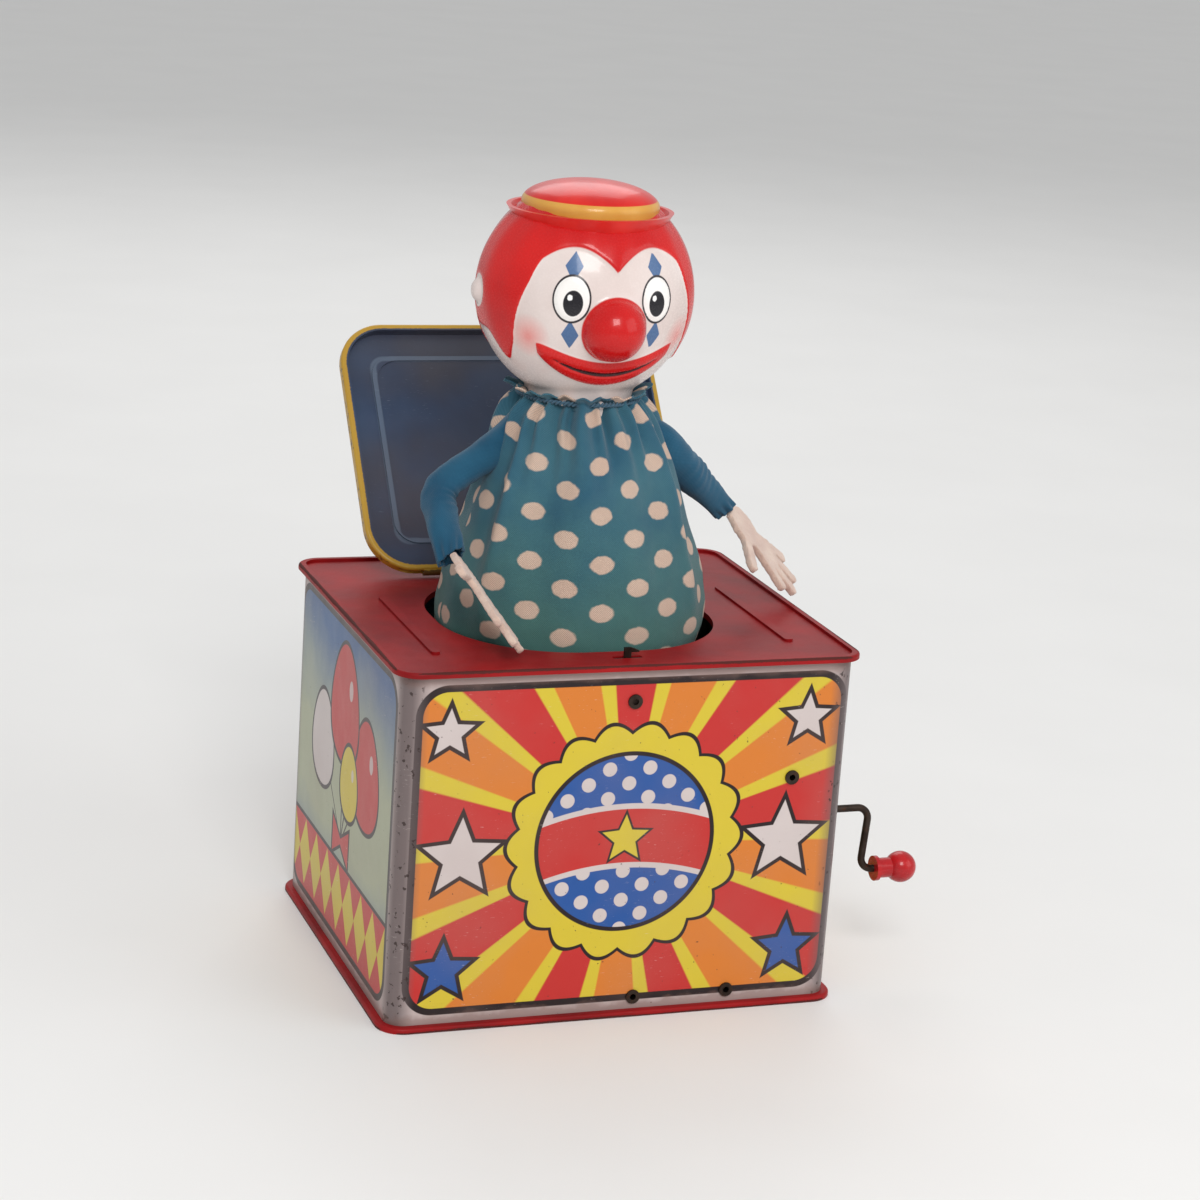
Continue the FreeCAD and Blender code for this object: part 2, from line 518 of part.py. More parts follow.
# Eyelet rivets that hold the frame to the front wall.
eyelets = []
for tag, (x, z) in RIVETS.items():
    barrel = fuse(
        f"eyelet_{tag}",
        rod(f"eyelet_head_{tag}", "rivet_head", "rivet_lip", x, f"{WALL_FRONT} - rivet_lip", z, "y"),
        rod(f"eyelet_shank_{tag}", "rivet_radius", "tin + frame_plate + 1.5 * rivet_lip",
            x, f"{WALL_FRONT} - rivet_lip / 2", z, "y"),
        rod(f"eyelet_tail_{tag}", "rivet_head", "rivet_lip", x, f"{FRONT_IN} + frame_plate", z, "y"),
    )
    bore = rod(f"eyelet_bore_{tag}", "rivet_bore", "4 * overhang", x, f"{WALL_FRONT} - overhang", z, "y")
    eyelets.append(cut(f"eyelet_open_{tag}", barrel, bore))
node(group("eyelets", *eyelets), "frame_rivets")


# Crank: one bent wire, its shaft through the movement, an arm down and a grip for the knob.
def bent_wire(points, bend):
    """Straight runs through points, joined by tangent arcs."""
    edges, last = [], points[0]
    for before, corner, after in zip(points, points[1:], points[2:]):
        back, ahead = (before - corner).normalize(), (after - corner).normalize()
        trim = bend / math.tan(math.acos(back.dot(ahead)) / 2)
        enter, leave = corner + back * trim, corner + ahead * trim
        edges.append(Part.LineSegment(last, enter).toShape())
        edges.append(arc_from(enter, back * -1, leave))
        last = leave
    edges.append(Part.LineSegment(last, points[-1]).toShape())
    return edges


wall_x = size("flange_width") / 2 - size("overhang")
crank_y = wall_in + size("crank_in")
frame_left = wall_x - size("tin") - size("wall_corner") - size("frame_width")
shaft_start = frame_left - size("clip_width") - size("side_gap")
arm_top = wall_x + size("arm_out") + size("arm_lean") / 2
grip_end = wall_x + size("knob_out") + size("grip_length")
throw = size("crank_throw")
crank_points = [Vector(shaft_start, 0, 0), Vector(arm_top, 0, 0),
                Vector(arm_top - size("arm_lean"), 0, -throw), Vector(grip_end, 0, -throw)]
crank_edges = bent_wire(crank_points, size("bend_radius"))
crank_wire = tube(crank_edges, size("wire_radius"), crank_points[0], Vector(1, 0, 0))
feature("crank_bar", crank_wire, "crank", Placement(Vector(0, crank_y, size("crank_z")), Rotation()))

# Crank knob: a stem and a ball that turn freely on the grip.
GRIP_Z = "(crank_z - crank_throw)"
KNOB_START = f"({WALL_X} + knob_out)"
stem = rod("knob_stem", "stem_radius", "knob_length - ball_radius", KNOB_START, CRANK_Y, GRIP_Z, "x")
ball = doc.addObject("Part::Sphere", "knob_ball")
put(bind(ball, Radius="ball_radius"), f"{KNOB_START} + knob_length - ball_radius", CRANK_Y, GRIP_Z)
collar = rod("knob_collar", "stem_radius * 1.25", "stem_radius * 0.4", KNOB_START, CRANK_Y, GRIP_Z, "x")
bore = rod("knob_bore", "wire_radius + run_gap", "grip_length + 2 * side_gap",
           f"{KNOB_START} - side_gap", CRANK_Y, GRIP_Z, "x")
node(cut("knob_bored", fuse("knob_whole", stem, ball, collar), bore), "crank_knob")

# Bushing in the side wall and the clips that keep the shaft from sliding.
bush = fuse("bush_whole",
            rod("bush_barrel", "bush_radius", "2 * bush_lip + tin",
                f"{WALL_X} - tin - bush_lip", CRANK_Y, "crank_z", "x"),
            rod("bush_face", "bush_flange", "bush_lip", WALL_X, CRANK_Y, "crank_z", "x"))
bush_bore = rod("bush_bore", "wire_radius + run_gap", "9 * bush_lip",
                f"{WALL_X} - 4 * bush_lip", CRANK_Y, "crank_z", "x")
node(cut("bush_bored", bush, bush_bore), "crank_bushing")
CLIP_X = {
    "left": f"{FRAME_LEFT} - clip_width - run_gap",
    "right": f"{FRAME_LEFT} + frame_width + run_gap",
}
clips = []
for side, x in CLIP_X.items():
    ring = rod(f"clip_ring_{side}", "clip_radius", "clip_width", x, CRANK_Y, "crank_z", "x")
    hole = rod(f"clip_hole_{side}", "wire_radius + seam_gap / 2", "3 * clip_width",
               f"{x} - clip_width", CRANK_Y, "crank_z", "x")
    clips.append(cut(f"clip_{side}", ring, hole))
node(group("clips", *clips), "shaft_clips")


# Gears: a pinion on the crank shaft drives the drum gear; straight-flanked teeth with running backlash.
def gear(name, label, teeth, width, bore, left, y, z, aim, phase):
    """A spur gear along X whose tooth, or gap for a half phase, points along the aim angle."""
    body = doc.addObject("PartDesign::Body", name)
    disc = sketch(body, name + "_disc")
    circle(disc, f"gear_module * ({teeth} / 2 - 1.25)")
    circle(disc, bore)
    pad(body, disc, width)
    tooth = sketch(body, name + "_tooth")
    root, tip = f"gear_module * ({teeth} / 2 - 1.45)", f"gear_module * ({teeth} / 2 + 0.9)"
    low, high = "gear_module * 0.93", "gear_module * 0.32"
    polygon(tooth, (root, f"-{low}"), (tip, f"-{high}"), (tip, high), (root, low))
    step = pad(body, tooth, width)
    ring = body.newObject("PartDesign::PolarPattern", name + "_ring")
    ring.Originals = [step]
    ring.Axis = (next(f for f in body.Origin.OriginFeatures if f.Role == "Z_Axis"), [""])
    ring.Angle = 360
    bind(ring, Occurrences=teeth)
    body.Tip = ring
    turn = aim + phase * 180 / size(teeth)
    body.Placement = Placement(Vector(), Rotation(Vector(1, 0, 0), turn).multiply(GEAR_LAY))
    return node(put(body, left, y, z), label)


# lays a gear drawn flat so that its own x axis becomes +Y and its width runs along +X
GEAR_LAY = Rotation(Vector(0, 1, 0), Vector(0, 0, 1), Vector(1, 0, 0), "ZXY")
centres = size("gear_module") * (size("pinion_teeth") + size("gear_teeth")) / 2
aim = math.degrees(math.acos((size("drum_in") - size("crank_in")) / centres))
gear("pinion_body", "drive_pinion", "pinion_teeth", "pinion_width", "wire_radius + seam_gap / 2",
     PINION_LEFT, CRANK_Y, "crank_z", aim, 1)
gear("gear_body", "drum_gear", "gear_teeth", "gear_width", "hub_radius + seam_gap / 2",
     f"{PINION_LEFT} + (pinion_width - gear_width) / 2", DRUM_Y, DRUM_Z, aim + 180, 0)

# Music drum: a pinned cylinder with hubs for the gear and the cam, free on its axle.
barrel = rod("drum_barrel", "drum_radius", DRUM_LENGTH, DRUM_LEFT, DRUM_Y, DRUM_Z, "x")
hub = rod("drum_hub", "hub_radius", f"{PINION_LEFT} + pinion_width - {CAM_LEFT}",
          CAM_LEFT, DRUM_Y, DRUM_Z, "x")
PINS_ROUND = 4
PIN_STEP = 0.17
pins = []
rows = int(size("pin_rows"))
for i in range(rows):
    for j in range(PINS_ROUND):
        angle = 2 * math.pi * (j / PINS_ROUND + i * PIN_STEP)
        up, aside = f"({math.cos(angle):.6f})", f"({math.sin(angle):.6f})"
        peg = block(f"drum_pin_{i}_{j}", "pin_size", "pin_size", "pin_size + pin_root", "0", "0", "0")
        peg.Placement = Placement(Vector(), Rotation(Vector(1, 0, 0), math.degrees(angle)))
        pins.append(put(peg, f"{DRUM_LEFT} + {DRUM_LENGTH} * {i + 0.5} / pin_rows - pin_size / 2",
                        f"{DRUM_Y} - {aside} * (drum_radius - pin_root) - {up} * pin_size / 2",
                        f"{DRUM_Z} + {up} * (drum_radius - pin_root) - {aside} * pin_size / 2"))
axle_room = rod("drum_room", "axle_radius + run_gap", "2 * frame_width", FRAME_LEFT, DRUM_Y, DRUM_Z, "x")
node(cut("drum_bored", fuse("drum_whole", barrel, hub, *pins), axle_room), "music_drum")
node(rod("axle_bar", "axle_radius", "frame_width + 2 * clip_width", f"{FRAME_LEFT} - clip_width",
         DRUM_Y, DRUM_Z, "x"), "drum_axle")

# Trip cam: a round plate with one lobe, away from the latch tail at rest.
TAIL_RISE = f"({LATCH_Z} - tail_drop - tail_half - {DRUM_Z})"
TAIL_AWAY = f"({DRUM_Y} - {LATCH_Y} - latch_plate / 2)"
CAM_REACH = f"(min(sqrt({TAIL_AWAY} ^ 2 + {TAIL_RISE} ^ 2); drum_in - frame_plate) - cam_gap)"
cam = doc.addObject("PartDesign::Body", "cam_body")
plate = sketch(cam, "cam_plate")
circle(plate, "cam_radius")
circle(plate, "hub_radius + seam_gap / 2")
pad(cam, plate, "cam_width")
lobe = sketch(cam, "cam_lobe")
polygon(lobe, ("cam_radius * 0.7", "-lobe_half * 1.5"), (f"{CAM_REACH} - 0.4", "-lobe_half * 0.5"),
        (f"{CAM_REACH} - 0.4", "lobe_half * 0.5"), ("cam_radius * 0.7", "lobe_half * 1.5"))
pad(cam, lobe, "cam_width")
cam.Placement = Placement(Vector(), Rotation(Vector(1, 0, 0), -50).multiply(GEAR_LAY))
node(put(cam, CAM_LEFT, DRUM_Y, DRUM_Z), "trip_cam")

# Comb: a steel plate with cut tines on a bridge between the cheeks, held by two screws.
BRIDGE_Y = f"({COMB_TIP} + comb_length - bridge_depth)"
comb = block("comb_blank", DRUM_LENGTH, "comb_length", "comb_plate",
             DRUM_LEFT, COMB_TIP, f"{DRUM_Z} - comb_plate / 2")
gaps = [block(f"comb_gap_{i}", "tine_gap", "tine_length + 1", "3 * comb_plate",
              f"{DRUM_LEFT} + {DRUM_LENGTH} * {i} / pin_rows - tine_gap / 2",
              f"{COMB_TIP} - 1", f"{DRUM_Z} - 1.5 * comb_plate")
        for i in range(1, rows)]
screw_x = [f"{DRUM_LEFT} + {DRUM_LENGTH} * {share}" for share in (0.22, 0.78)]
SCREW_Y = f"({BRIDGE_Y} + bridge_depth / 2)"
BRIDGE_TOP = f"({DRUM_Z} - comb_plate / 2)"
gaps += [rod(f"comb_hole_{i}", "screw_radius + seam_gap", "4 * comb_plate",
             x, SCREW_Y, f"{DRUM_Z} - 2 * comb_plate")
         for i, x in enumerate(screw_x)]
node(cut("comb_cut", comb, *gaps), "music_comb")
bridge = block("bridge_bar", "frame_width - 2 * frame_plate", "bridge_depth", "bridge_height",
               f"{FRAME_LEFT} + frame_plate", BRIDGE_Y, f"{BRIDGE_TOP} - bridge_height")
sockets = [rod(f"bridge_hole_{i}", "screw_radius + seam_gap", "screw_depth + seam_gap + 1", x, SCREW_Y,
               f"{BRIDGE_TOP} - screw_depth - seam_gap") for i, x in enumerate(screw_x)]
node(cut("bridge_drilled", bridge, *sockets), "comb_bridge")
screws = [fuse(f"screw_{i}",
               rod(f"screw_shank_{i}", "screw_radius", "screw_depth + comb_plate + screw_cap / 2",
                   x, SCREW_Y, f"{BRIDGE_TOP} - screw_depth"),
               rod(f"screw_cap_{i}", "screw_head", "screw_cap", x, SCREW_Y, f"{BRIDGE_TOP} + comb_plate"))
          for i, x in enumerate(screw_x)]
node(group("screws", *screws), "comb_screws")

# Puppet mount: a disc glued to the floor and three clips over the lowest coil of the spring.
mount_disc = rod("mount_disc", f"{SPRING_WIDE} + disc_margin", "disc_height", "puppet_x", PUPPET_Y, "tin")
node(mount_disc, "spring_base")
doc.recompute()
STRAP_IN = f"({SPRING_WIDE} - spring_wire - seat_gap * 6 - strap_span)"
STRAP_HIGH = "(2 * spring_wire + 2 * seat_gap)"
straps = []
for i in range(3):
    foot = block(f"strap_foot_{i}", "strap_span", "strap_span", STRAP_HIGH, STRAP_IN, "-strap_span / 2", "0")
    bar = block(f"strap_bar_{i}", "strap_span + 3 * spring_wire", "strap_span", "strap_plate",
                STRAP_IN, "-strap_span / 2", STRAP_HIGH)
    strap = fuse(f"strap_{i}", foot, bar)
    strap.Placement = Placement(Vector(), Rotation(Vector(0, 0, 1), 120 * i - 8))
    straps.append(put(strap, "puppet_x", PUPPET_Y, "tin + disc_height"))
node(group("straps", *straps), "spring_clips")

# Puppet spring: a cone of wire whose turns lie inside one another when pressed flat.
puppet_y = mount_disc.Placement.Base.y
spring_wide = mount_disc.Radius.Value - size("disc_margin")
neck_z = size("head_z") - size("head_tall") + size("neck_set")
axis = Vector(size("puppet_x"), puppet_y, 0)
spring_low = size("tin") + size("disc_height") + size("spring_wire") + size("seat_gap")
spring_high = neck_z - size("plug_height") / 2 - size("spring_wire") - size("seat_gap")
cone_edges, cone_spot, cone_way, _, _ = coil(
    axis, spring_low, spring_high, spring_wide, size("spring_narrow"), size("spring_turns"))
feature("puppet_coil", tube(cone_edges, size("spring_wire"), cone_spot, cone_way), "puppet_spring")
rise = (spring_high - spring_low) / size("spring_turns")
print(f"puppet spring: least gap between turns {rise - 2 * size('spring_wire'):.2f} mm")
print(f"latch spring: least gap between turns {size('latch_pitch') - 2 * size('latch_wire'):.2f} mm")

# Neck plug: the disc on top of the spring that carries the head.
plug = rod("plug_disc", "plug_radius", "plug_height", "puppet_x", PUPPET_Y, f"{NECK_Z} - plug_height / 2")
node(plug, "neck_plug")


# Head: a hollow moulding with a neck, a ball nose and low ears.
def ellipsoid(name, wide, deep, tall, x, y, z):
    form = doc.addObject("Part::Ellipsoid", name)
    bind(form, Radius1=tall, Radius2=wide, Radius3=deep)
    form.Angle1, form.Angle2, form.Angle3 = -90, 90, 360
    return put(form, x, y, z)


skull = ellipsoid("head_skull", "head_wide", "head_deep", "head_tall", "puppet_x", PUPPET_Y, "head_z")
hollow = ellipsoid("head_hollow", "head_wide - head_wall", "head_deep - head_wall", "head_tall - head_wall",
                   "puppet_x", PUPPET_Y, "head_z")
neck = rod("head_neck", "neck_radius", "head_tall / 2 - neck_set + neck_length",
           "puppet_x", PUPPET_Y, f"{NECK_Z} - neck_length")
throat = rod("head_throat", "neck_bore", "head_tall", "puppet_x", PUPPET_Y, f"{NECK_Z} - neck_length - 1")
nose = doc.addObject("Part::Sphere", "head_nose")
put(bind(nose, Radius="nose_radius"), "puppet_x",
    f"{PUPPET_Y} - head_deep - nose_rise + nose_radius", "head_z - nose_drop")
ears = []
for side, sign in (("right", ""), ("left", "-")):
    ear = bind(doc.addObject("Part::Sphere", f"head_ear_{side}"), Radius="ear_radius")
    ears.append(put(ear, f"puppet_x + ({sign}ear_x)", f"{PUPPET_Y} + ear_y", "head_z"))
node(cut("head_open", fuse("head_whole", skull, neck, nose, *ears), hollow, throat), "clown_head")

# Hat: an upturned brim round a domed crown, glued on the head.
BRIM_Z = "(head_z + head_tall - brim_drop)"
DOME_Z = "(head_z + head_tall + crown_rise - crown_radius * 0.35)"
rim_out = doc.addObject("Part::Cone", "brim_outer")
put(bind(rim_out, Radius1="brim_low", Radius2="brim_top", Height="brim_rise"), "puppet_x", PUPPET_Y, BRIM_Z)
rim_in = doc.addObject("Part::Cone", "brim_inner")
put(bind(rim_in, Radius1="brim_low", Radius2="brim_top - brim_wall", Height="brim_rise - brim_floor"),
    "puppet_x", PUPPET_Y, f"{BRIM_Z} + brim_floor")
crown = rod("crown_wall", "crown_radius", f"{DOME_Z} - {BRIM_Z}", "puppet_x", PUPPET_Y, BRIM_Z)
dome = ellipsoid("crown_dome", "crown_radius", "crown_radius", "crown_radius * 0.35",
                 "puppet_x", PUPPET_Y, DOME_Z)
bowl = cut("brim_bowl", rim_out, rim_in)
scalp = ellipsoid("hat_scalp", "head_wide + glue_gap", "head_deep + glue_gap", "head_tall + glue_gap",
                  "puppet_x", PUPPET_Y, "head_z")
node(cut("hat_fitted", fuse("hat_whole", bowl, crown, dome), scalp), "clown_hat")


# Dress: a gathered cloth cone from the neck through the opening down to the disc.
def fluted(a, b, wave, x, z, folds):
    """A closed wire of shallow arcs round an ellipse, one arc for each fold."""
    middle = Vector(x, puppet_y, z)
    angles = [math.pi * k / folds for k in range(2 * folds)]
    spots = [middle + Vector(a * math.cos(turn), b * math.sin(turn), 0) for turn in angles]
    edges = []
    for low, mid, high in zip(spots[0::2], spots[1::2], spots[2::2] + spots[:1]):
        out = (mid - middle).normalize() * wave * size("fold_depth")
        edges.append(Part.Arc(low, mid + out, high).toShape())
    return Part.Wire(edges)


plate_z = size("box_height")
puppet_x = size("puppet_x")
neck_a = size("neck_radius") + size("cloth_gap") + size("cloth")
wide = size("flange_width") / 2 - size("lid_side") - size("opening_side") - size("dress_side")
deep = spring_wide + size("spring_in") - size("dress_front")
hem_a = spring_wide + size("hem_out")
hem_z = size("tin") + size("disc_height") + size("cloth_gap")
# inside the box: share of the height, share of the way out from the hem to the opening, fold, middle
INSIDE = ((0, 0, 0.38, 1.0), (0.5, 0.2, 0.38, 0.9), (0.875, 0.65, 0.44, 0.65))
# above the plate: share of the height, half width and half depth as shares of the opening, fold, middle
ABOVE = (
    (0, 1.0, 1.0, 0.5, 0.5), (0.18, 0.96, 0.95, 0.75, 0.5), (0.5, 0.79, 0.83, 1.0, 0.6),
    (0.8, 0.61, 0.71, 0.94, 0.85), (0.94, 0.51, 0.60, 0.62, 1.0),
)
NECK_FOLD = 0.25
# each level: height, half width, half depth, fold, middle
levels = []
for up, out, wave, shift in INSIDE:
    half_wide, half_deep = hem_a + out * (wide - hem_a), hem_a + out * (deep - hem_a)
    levels.append((hem_z + up * (plate_z - hem_z), half_wide, half_deep, wave, shift * puppet_x))
for up, a, b, wave, shift in ABOVE:
    levels.append((plate_z + up * (neck_z - plate_z), a * wide, b * deep, wave, shift * puppet_x))
for away in (-2, 2):
    levels.append((neck_z + away * size("tie_radius"), neck_a, neck_a, NECK_FOLD, puppet_x))


def skirt(grow):
    """The solid under the dress surface, grown outward."""
    folds = int(size("dress_folds"))
    rings = [fluted(a + grow, b + grow, wave, x, z, folds) for z, a, b, wave, x in levels]
    return Part.makeLoft(rings, True, True)


feature("dress_cloth", skirt(0).cut(skirt(-size("cloth"))), "dress")

# Neck tie: the cord that gathers the cloth round the neck.
tie_ring = neck_a + NECK_FOLD * size("fold_depth") + size("tie_radius") + size("cloth_gap") / 2
tie_cord = Part.makeTorus(tie_ring, size("tie_radius"), Vector(puppet_x, puppet_y, neck_z))
feature("tie_cord", tie_cord, "neck_tie")


# Sleeves: stuffed cloth limbs that swell below the shoulder and taper to the cuff.
def limb(stations, ending):
    """A loft through round sections across the way; the last one lies across the ending."""
    wires = []
    spots = [Vector(*station[:3]) for station in stations]
    ways = [after - before for before, after in zip(spots[:1] + spots[:-2], spots[1:])] + [ending]
    for spot, way, station in zip(spots, ways, stations):
        side = way.cross(Vector(0, 1, 0)).normalize()
        up = side.cross(way).normalize()
        tall, flat = station[3:]
        angles = [k * math.pi / 4 for k in range(8)]
        ring = [spot + side * (tall * math.cos(turn)) + up * (flat * math.sin(turn)) for turn in angles]
        quarters = [(ring[k], ring[k + 1], ring[(k + 2) % 8]) for k in (0, 2, 4, 6)]
        wires.append(Part.Wire([Part.Arc(*quarter).toShape() for quarter in quarters]))
    return Part.makeLoft(wires, True, False)


# Hands: flat felt with four fingers and a thumb, each sewn to its cuff.
def hand(side, thumb, place):
    pieces = [rod(f"palm_{side}", "palm_radius", "hand_plate", "0", "0", "0"),
              block(f"wrist_{side}", "2 * wrist_half", "wrist_length", "hand_plate",
                    "-wrist_half", "0", "0")]
    for i, (spread, reach) in enumerate(((-24, 0.85), (-8, 1.0), (8, 1.0), (24, 0.85), (thumb, 0.75))):
        way_x, way_y = math.sin(math.radians(spread)), -math.cos(math.radians(spread))
        length = f"({reach} * (palm_radius + finger_length) - finger_half)"
        bar = block(f"finger_{side}_{i}", "2 * finger_half", length, "hand_plate", "0", "0", "0")
        bar.Placement = Placement(Vector(), Rotation(Vector(0, 0, 1), 180 + spread))
        pieces.append(put(bar, f"{-way_y:.6f} * finger_half", f"{way_x:.6f} * finger_half", "0"))
        pieces.append(rod(f"tip_{side}_{i}", "finger_half", "hand_plate",
                          f"{way_x:.6f} * {length}", f"{way_y:.6f} * {length}", "0"))
    whole = fuse(f"hand_{side}_whole", *pieces)
    whole.Placement = place
    return node(whole, f"hand_{side}")


# each station: away from the neck in x and y as shares of the arm reach, share of the height from
# plate to neck, half height and half depth as shares of the arm thickness; then the way that the
# hand points, the way that its palm faces and the spread of its thumb
ARMS = {
    "left": (
        [(-0.37, 0.0, 0.861, 0.75, 0.69), (-0.674, -0.043, 0.722, 0.65, 0.625),
         (-0.967, -0.109, 0.59, 0.7, 0.625), (-1.007, -0.283, 0.472, 0.65, 0.56),
         (-0.985, -0.467, 0.347, 0.55, 0.5)],
        Vector(0.362, -0.711, -0.602), Vector(0.752, -0.086, 0.653), -75,
    ),
    "right": (
        [(0.37, 0.022, 0.854, 0.775, 0.69), (0.696, 0.022, 0.736, 0.775, 0.69),
         (0.902, 0.087, 0.604, 0.725, 0.625), (1.087, 0.152, 0.5, 0.575, 0.5),
         (1.239, 0.196, 0.417, 0.5, 0.45)],
        Vector(0.68, -0.06, -0.73), Vector(0.62, -0.42, 0.66), -75,
    ),
}
reach, thick = size("arm_reach"), size("arm_thick")
body_cloth = skirt(size("sleeve_gap"))
for side, (stations, way, palm, thumb) in ARMS.items():
    way.normalize()
    path = []
    for x, y, share, tall, flat in stations:
        spot = (puppet_x + x * reach, puppet_y + y * reach, plate_z + share * (neck_z - plate_z))
        path.append((*spot, tall * thick, flat * thick))
    feature(f"sleeve_{side}_cloth", limb(path, way).cut(body_cloth), f"sleeve_{side}")
    palm_out = max(size("wrist_length"), size("palm_radius")) + size("sleeve_gap")
    palm_spot = Vector(*path[-1][:3]) + way * palm_out
    hand(side, thumb, Placement(palm_spot, Rotation(Vector(), way * -1, palm, "YZX")))

doc.recompute()
os.makedirs("parts", exist_ok=True)
for thing in nodes:
    faults = [s for s in thing.State if s in ("Invalid", "Error")]
    if faults or thing.Shape.isNull() or not thing.Shape.isValid():
        raise SystemExit(f"{thing.Label}: {faults or 'shape not valid'}")
    thing.Shape.exportStep(f"parts/{thing.Label}.step")
    print(f"{thing.Label}: {len(thing.Shape.Solids)} solids, {thing.Shape.Volume:.1f} mm3")
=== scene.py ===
import math

import bmesh
import bpy
import numpy as np
from mathutils import Matrix, Vector, noise


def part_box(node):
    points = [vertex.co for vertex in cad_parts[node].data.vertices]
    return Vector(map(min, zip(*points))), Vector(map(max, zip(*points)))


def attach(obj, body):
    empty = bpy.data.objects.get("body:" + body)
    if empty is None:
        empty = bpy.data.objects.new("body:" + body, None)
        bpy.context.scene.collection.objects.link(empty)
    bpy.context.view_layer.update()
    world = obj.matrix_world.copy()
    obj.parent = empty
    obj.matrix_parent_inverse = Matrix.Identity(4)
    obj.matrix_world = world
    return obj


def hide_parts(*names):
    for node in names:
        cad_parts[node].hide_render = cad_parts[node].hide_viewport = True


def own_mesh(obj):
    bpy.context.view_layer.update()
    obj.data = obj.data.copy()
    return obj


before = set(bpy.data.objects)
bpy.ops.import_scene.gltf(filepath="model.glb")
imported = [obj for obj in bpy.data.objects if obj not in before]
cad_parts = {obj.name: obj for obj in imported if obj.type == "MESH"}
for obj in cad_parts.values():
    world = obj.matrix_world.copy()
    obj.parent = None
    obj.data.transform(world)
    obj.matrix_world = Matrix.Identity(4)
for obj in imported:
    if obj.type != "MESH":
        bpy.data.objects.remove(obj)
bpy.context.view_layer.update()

# The studio: a pale floor under wide soft lamps, and a long lens that looks down a little on the
# front left corner of the box, tipped by a few degrees.
azimuth, elevation, roll = math.radians(-20.53), math.radians(15.68), math.radians(3.99)
camera_target, camera_distance = Vector((0.0098, 0.0, 0.1175)), 0.976
back = Vector((math.sin(azimuth) * math.cos(elevation), -math.cos(azimuth) * math.cos(elevation),
               math.sin(elevation)))
level = Vector((math.cos(azimuth), math.sin(azimuth), 0.0))
rise = back.cross(level)
right = level * math.cos(roll) + rise * math.sin(roll)
up = rise * math.cos(roll) - level * math.sin(roll)
camera = bpy.data.objects.new("camera", bpy.data.cameras.new("camera"))
camera.data.lens = 90.3
camera.data.sensor_width = 36.0
camera.matrix_world = Matrix((right, up, back)).transposed().to_4x4()
camera.location = camera_target + back * camera_distance
bpy.context.collection.objects.link(camera)
bpy.context.scene.camera = camera
bpy.context.scene.view_settings.view_transform = "Standard"


def soft_lamp(name, place, aim, width, power):
    """A square lamp at a place, turned to a point."""
    lamp = bpy.data.objects.new(name, bpy.data.lights.new(name, "AREA"))
    lamp.data.size = width
    lamp.data.energy = power
    lamp.location = place
    lamp.rotation_euler = (Vector(aim) - Vector(place)).to_track_quat("-Z", "Y").to_euler()
    bpy.context.collection.objects.link(lamp)


soft_lamp("key_lamp", (-0.2, -1.25, 1.1), (0, 0, 0.12), 0.6, 12.0)
soft_lamp("fill_lamp", (1.1, -0.9, 0.7), (0, 0, 0.12), 1.0, 4.0)
soft_lamp("back_lamp", (0.3, 1.2, 1.2), (0, 0, 0.15), 1.0, 6.0)
world = bpy.data.worlds.new("studio")
world.use_nodes = True
sky = world.node_tree.nodes["Background"].inputs
sky["Color"].default_value = (0.93, 0.94, 0.95, 1.0)
sky["Strength"].default_value = 0.62
bpy.context.scene.world = world


def srgb(*levels):
    """A colour as it looks on a screen, from 0 to 255, as linear light."""
    linear = [c / 255 / 12.92 if c < 11 else ((c / 255 + 0.055) / 1.055) ** 2.4 for c in levels]
    return (*linear, 1.0)


class Field:
    """A number at each point of a surface; arithmetic on fields adds the nodes that work it out."""

    def __init__(self, tree, socket):
        self.tree, self.socket = tree, socket

    def math(self, operation, *others, clamp=False):
        node = self.tree.nodes.new("ShaderNodeMath")
        node.operation = operation
        node.use_clamp = clamp
        for slot, value in zip(node.inputs, (self, *others)):
            if isinstance(value, Field):
                self.tree.links.new(value.socket, slot)
            else:
                slot.default_value = value
        return Field(self.tree, node.outputs[0])

    def __add__(self, other):
        return self.math("ADD", other)

    def __sub__(self, other):
        return self.math("SUBTRACT", other)

    def __mul__(self, other):
        return self.math("MULTIPLY", other)

    def __truediv__(self, other):
        return self.math("DIVIDE", other)

    def __neg__(self):
        return self.math("MULTIPLY", -1.0)

    def __abs__(self):
        return self.math("ABSOLUTE")

    def least(self, other):
        return self.math("MINIMUM", other)

    def most(self, other):
        return self.math("MAXIMUM", other)

    def long(self, other):
        """The length of the arrow whose two sides are these fields."""
        return (self * self + other * other).math("SQRT")

    def inside(self, soft=0.2):
        """1 where a distance is below nought, 0 beyond it, with an edge this soft."""
        return self.math("MULTIPLY_ADD", -1 / soft, 0.5, clamp=True)

    def between(self, low, high):
        """0 at low, 1 at high, and a straight climb from one to the other."""
        return self.math("MULTIPLY_ADD", 1 / (high - low), -low / (high - low), clamp=True)


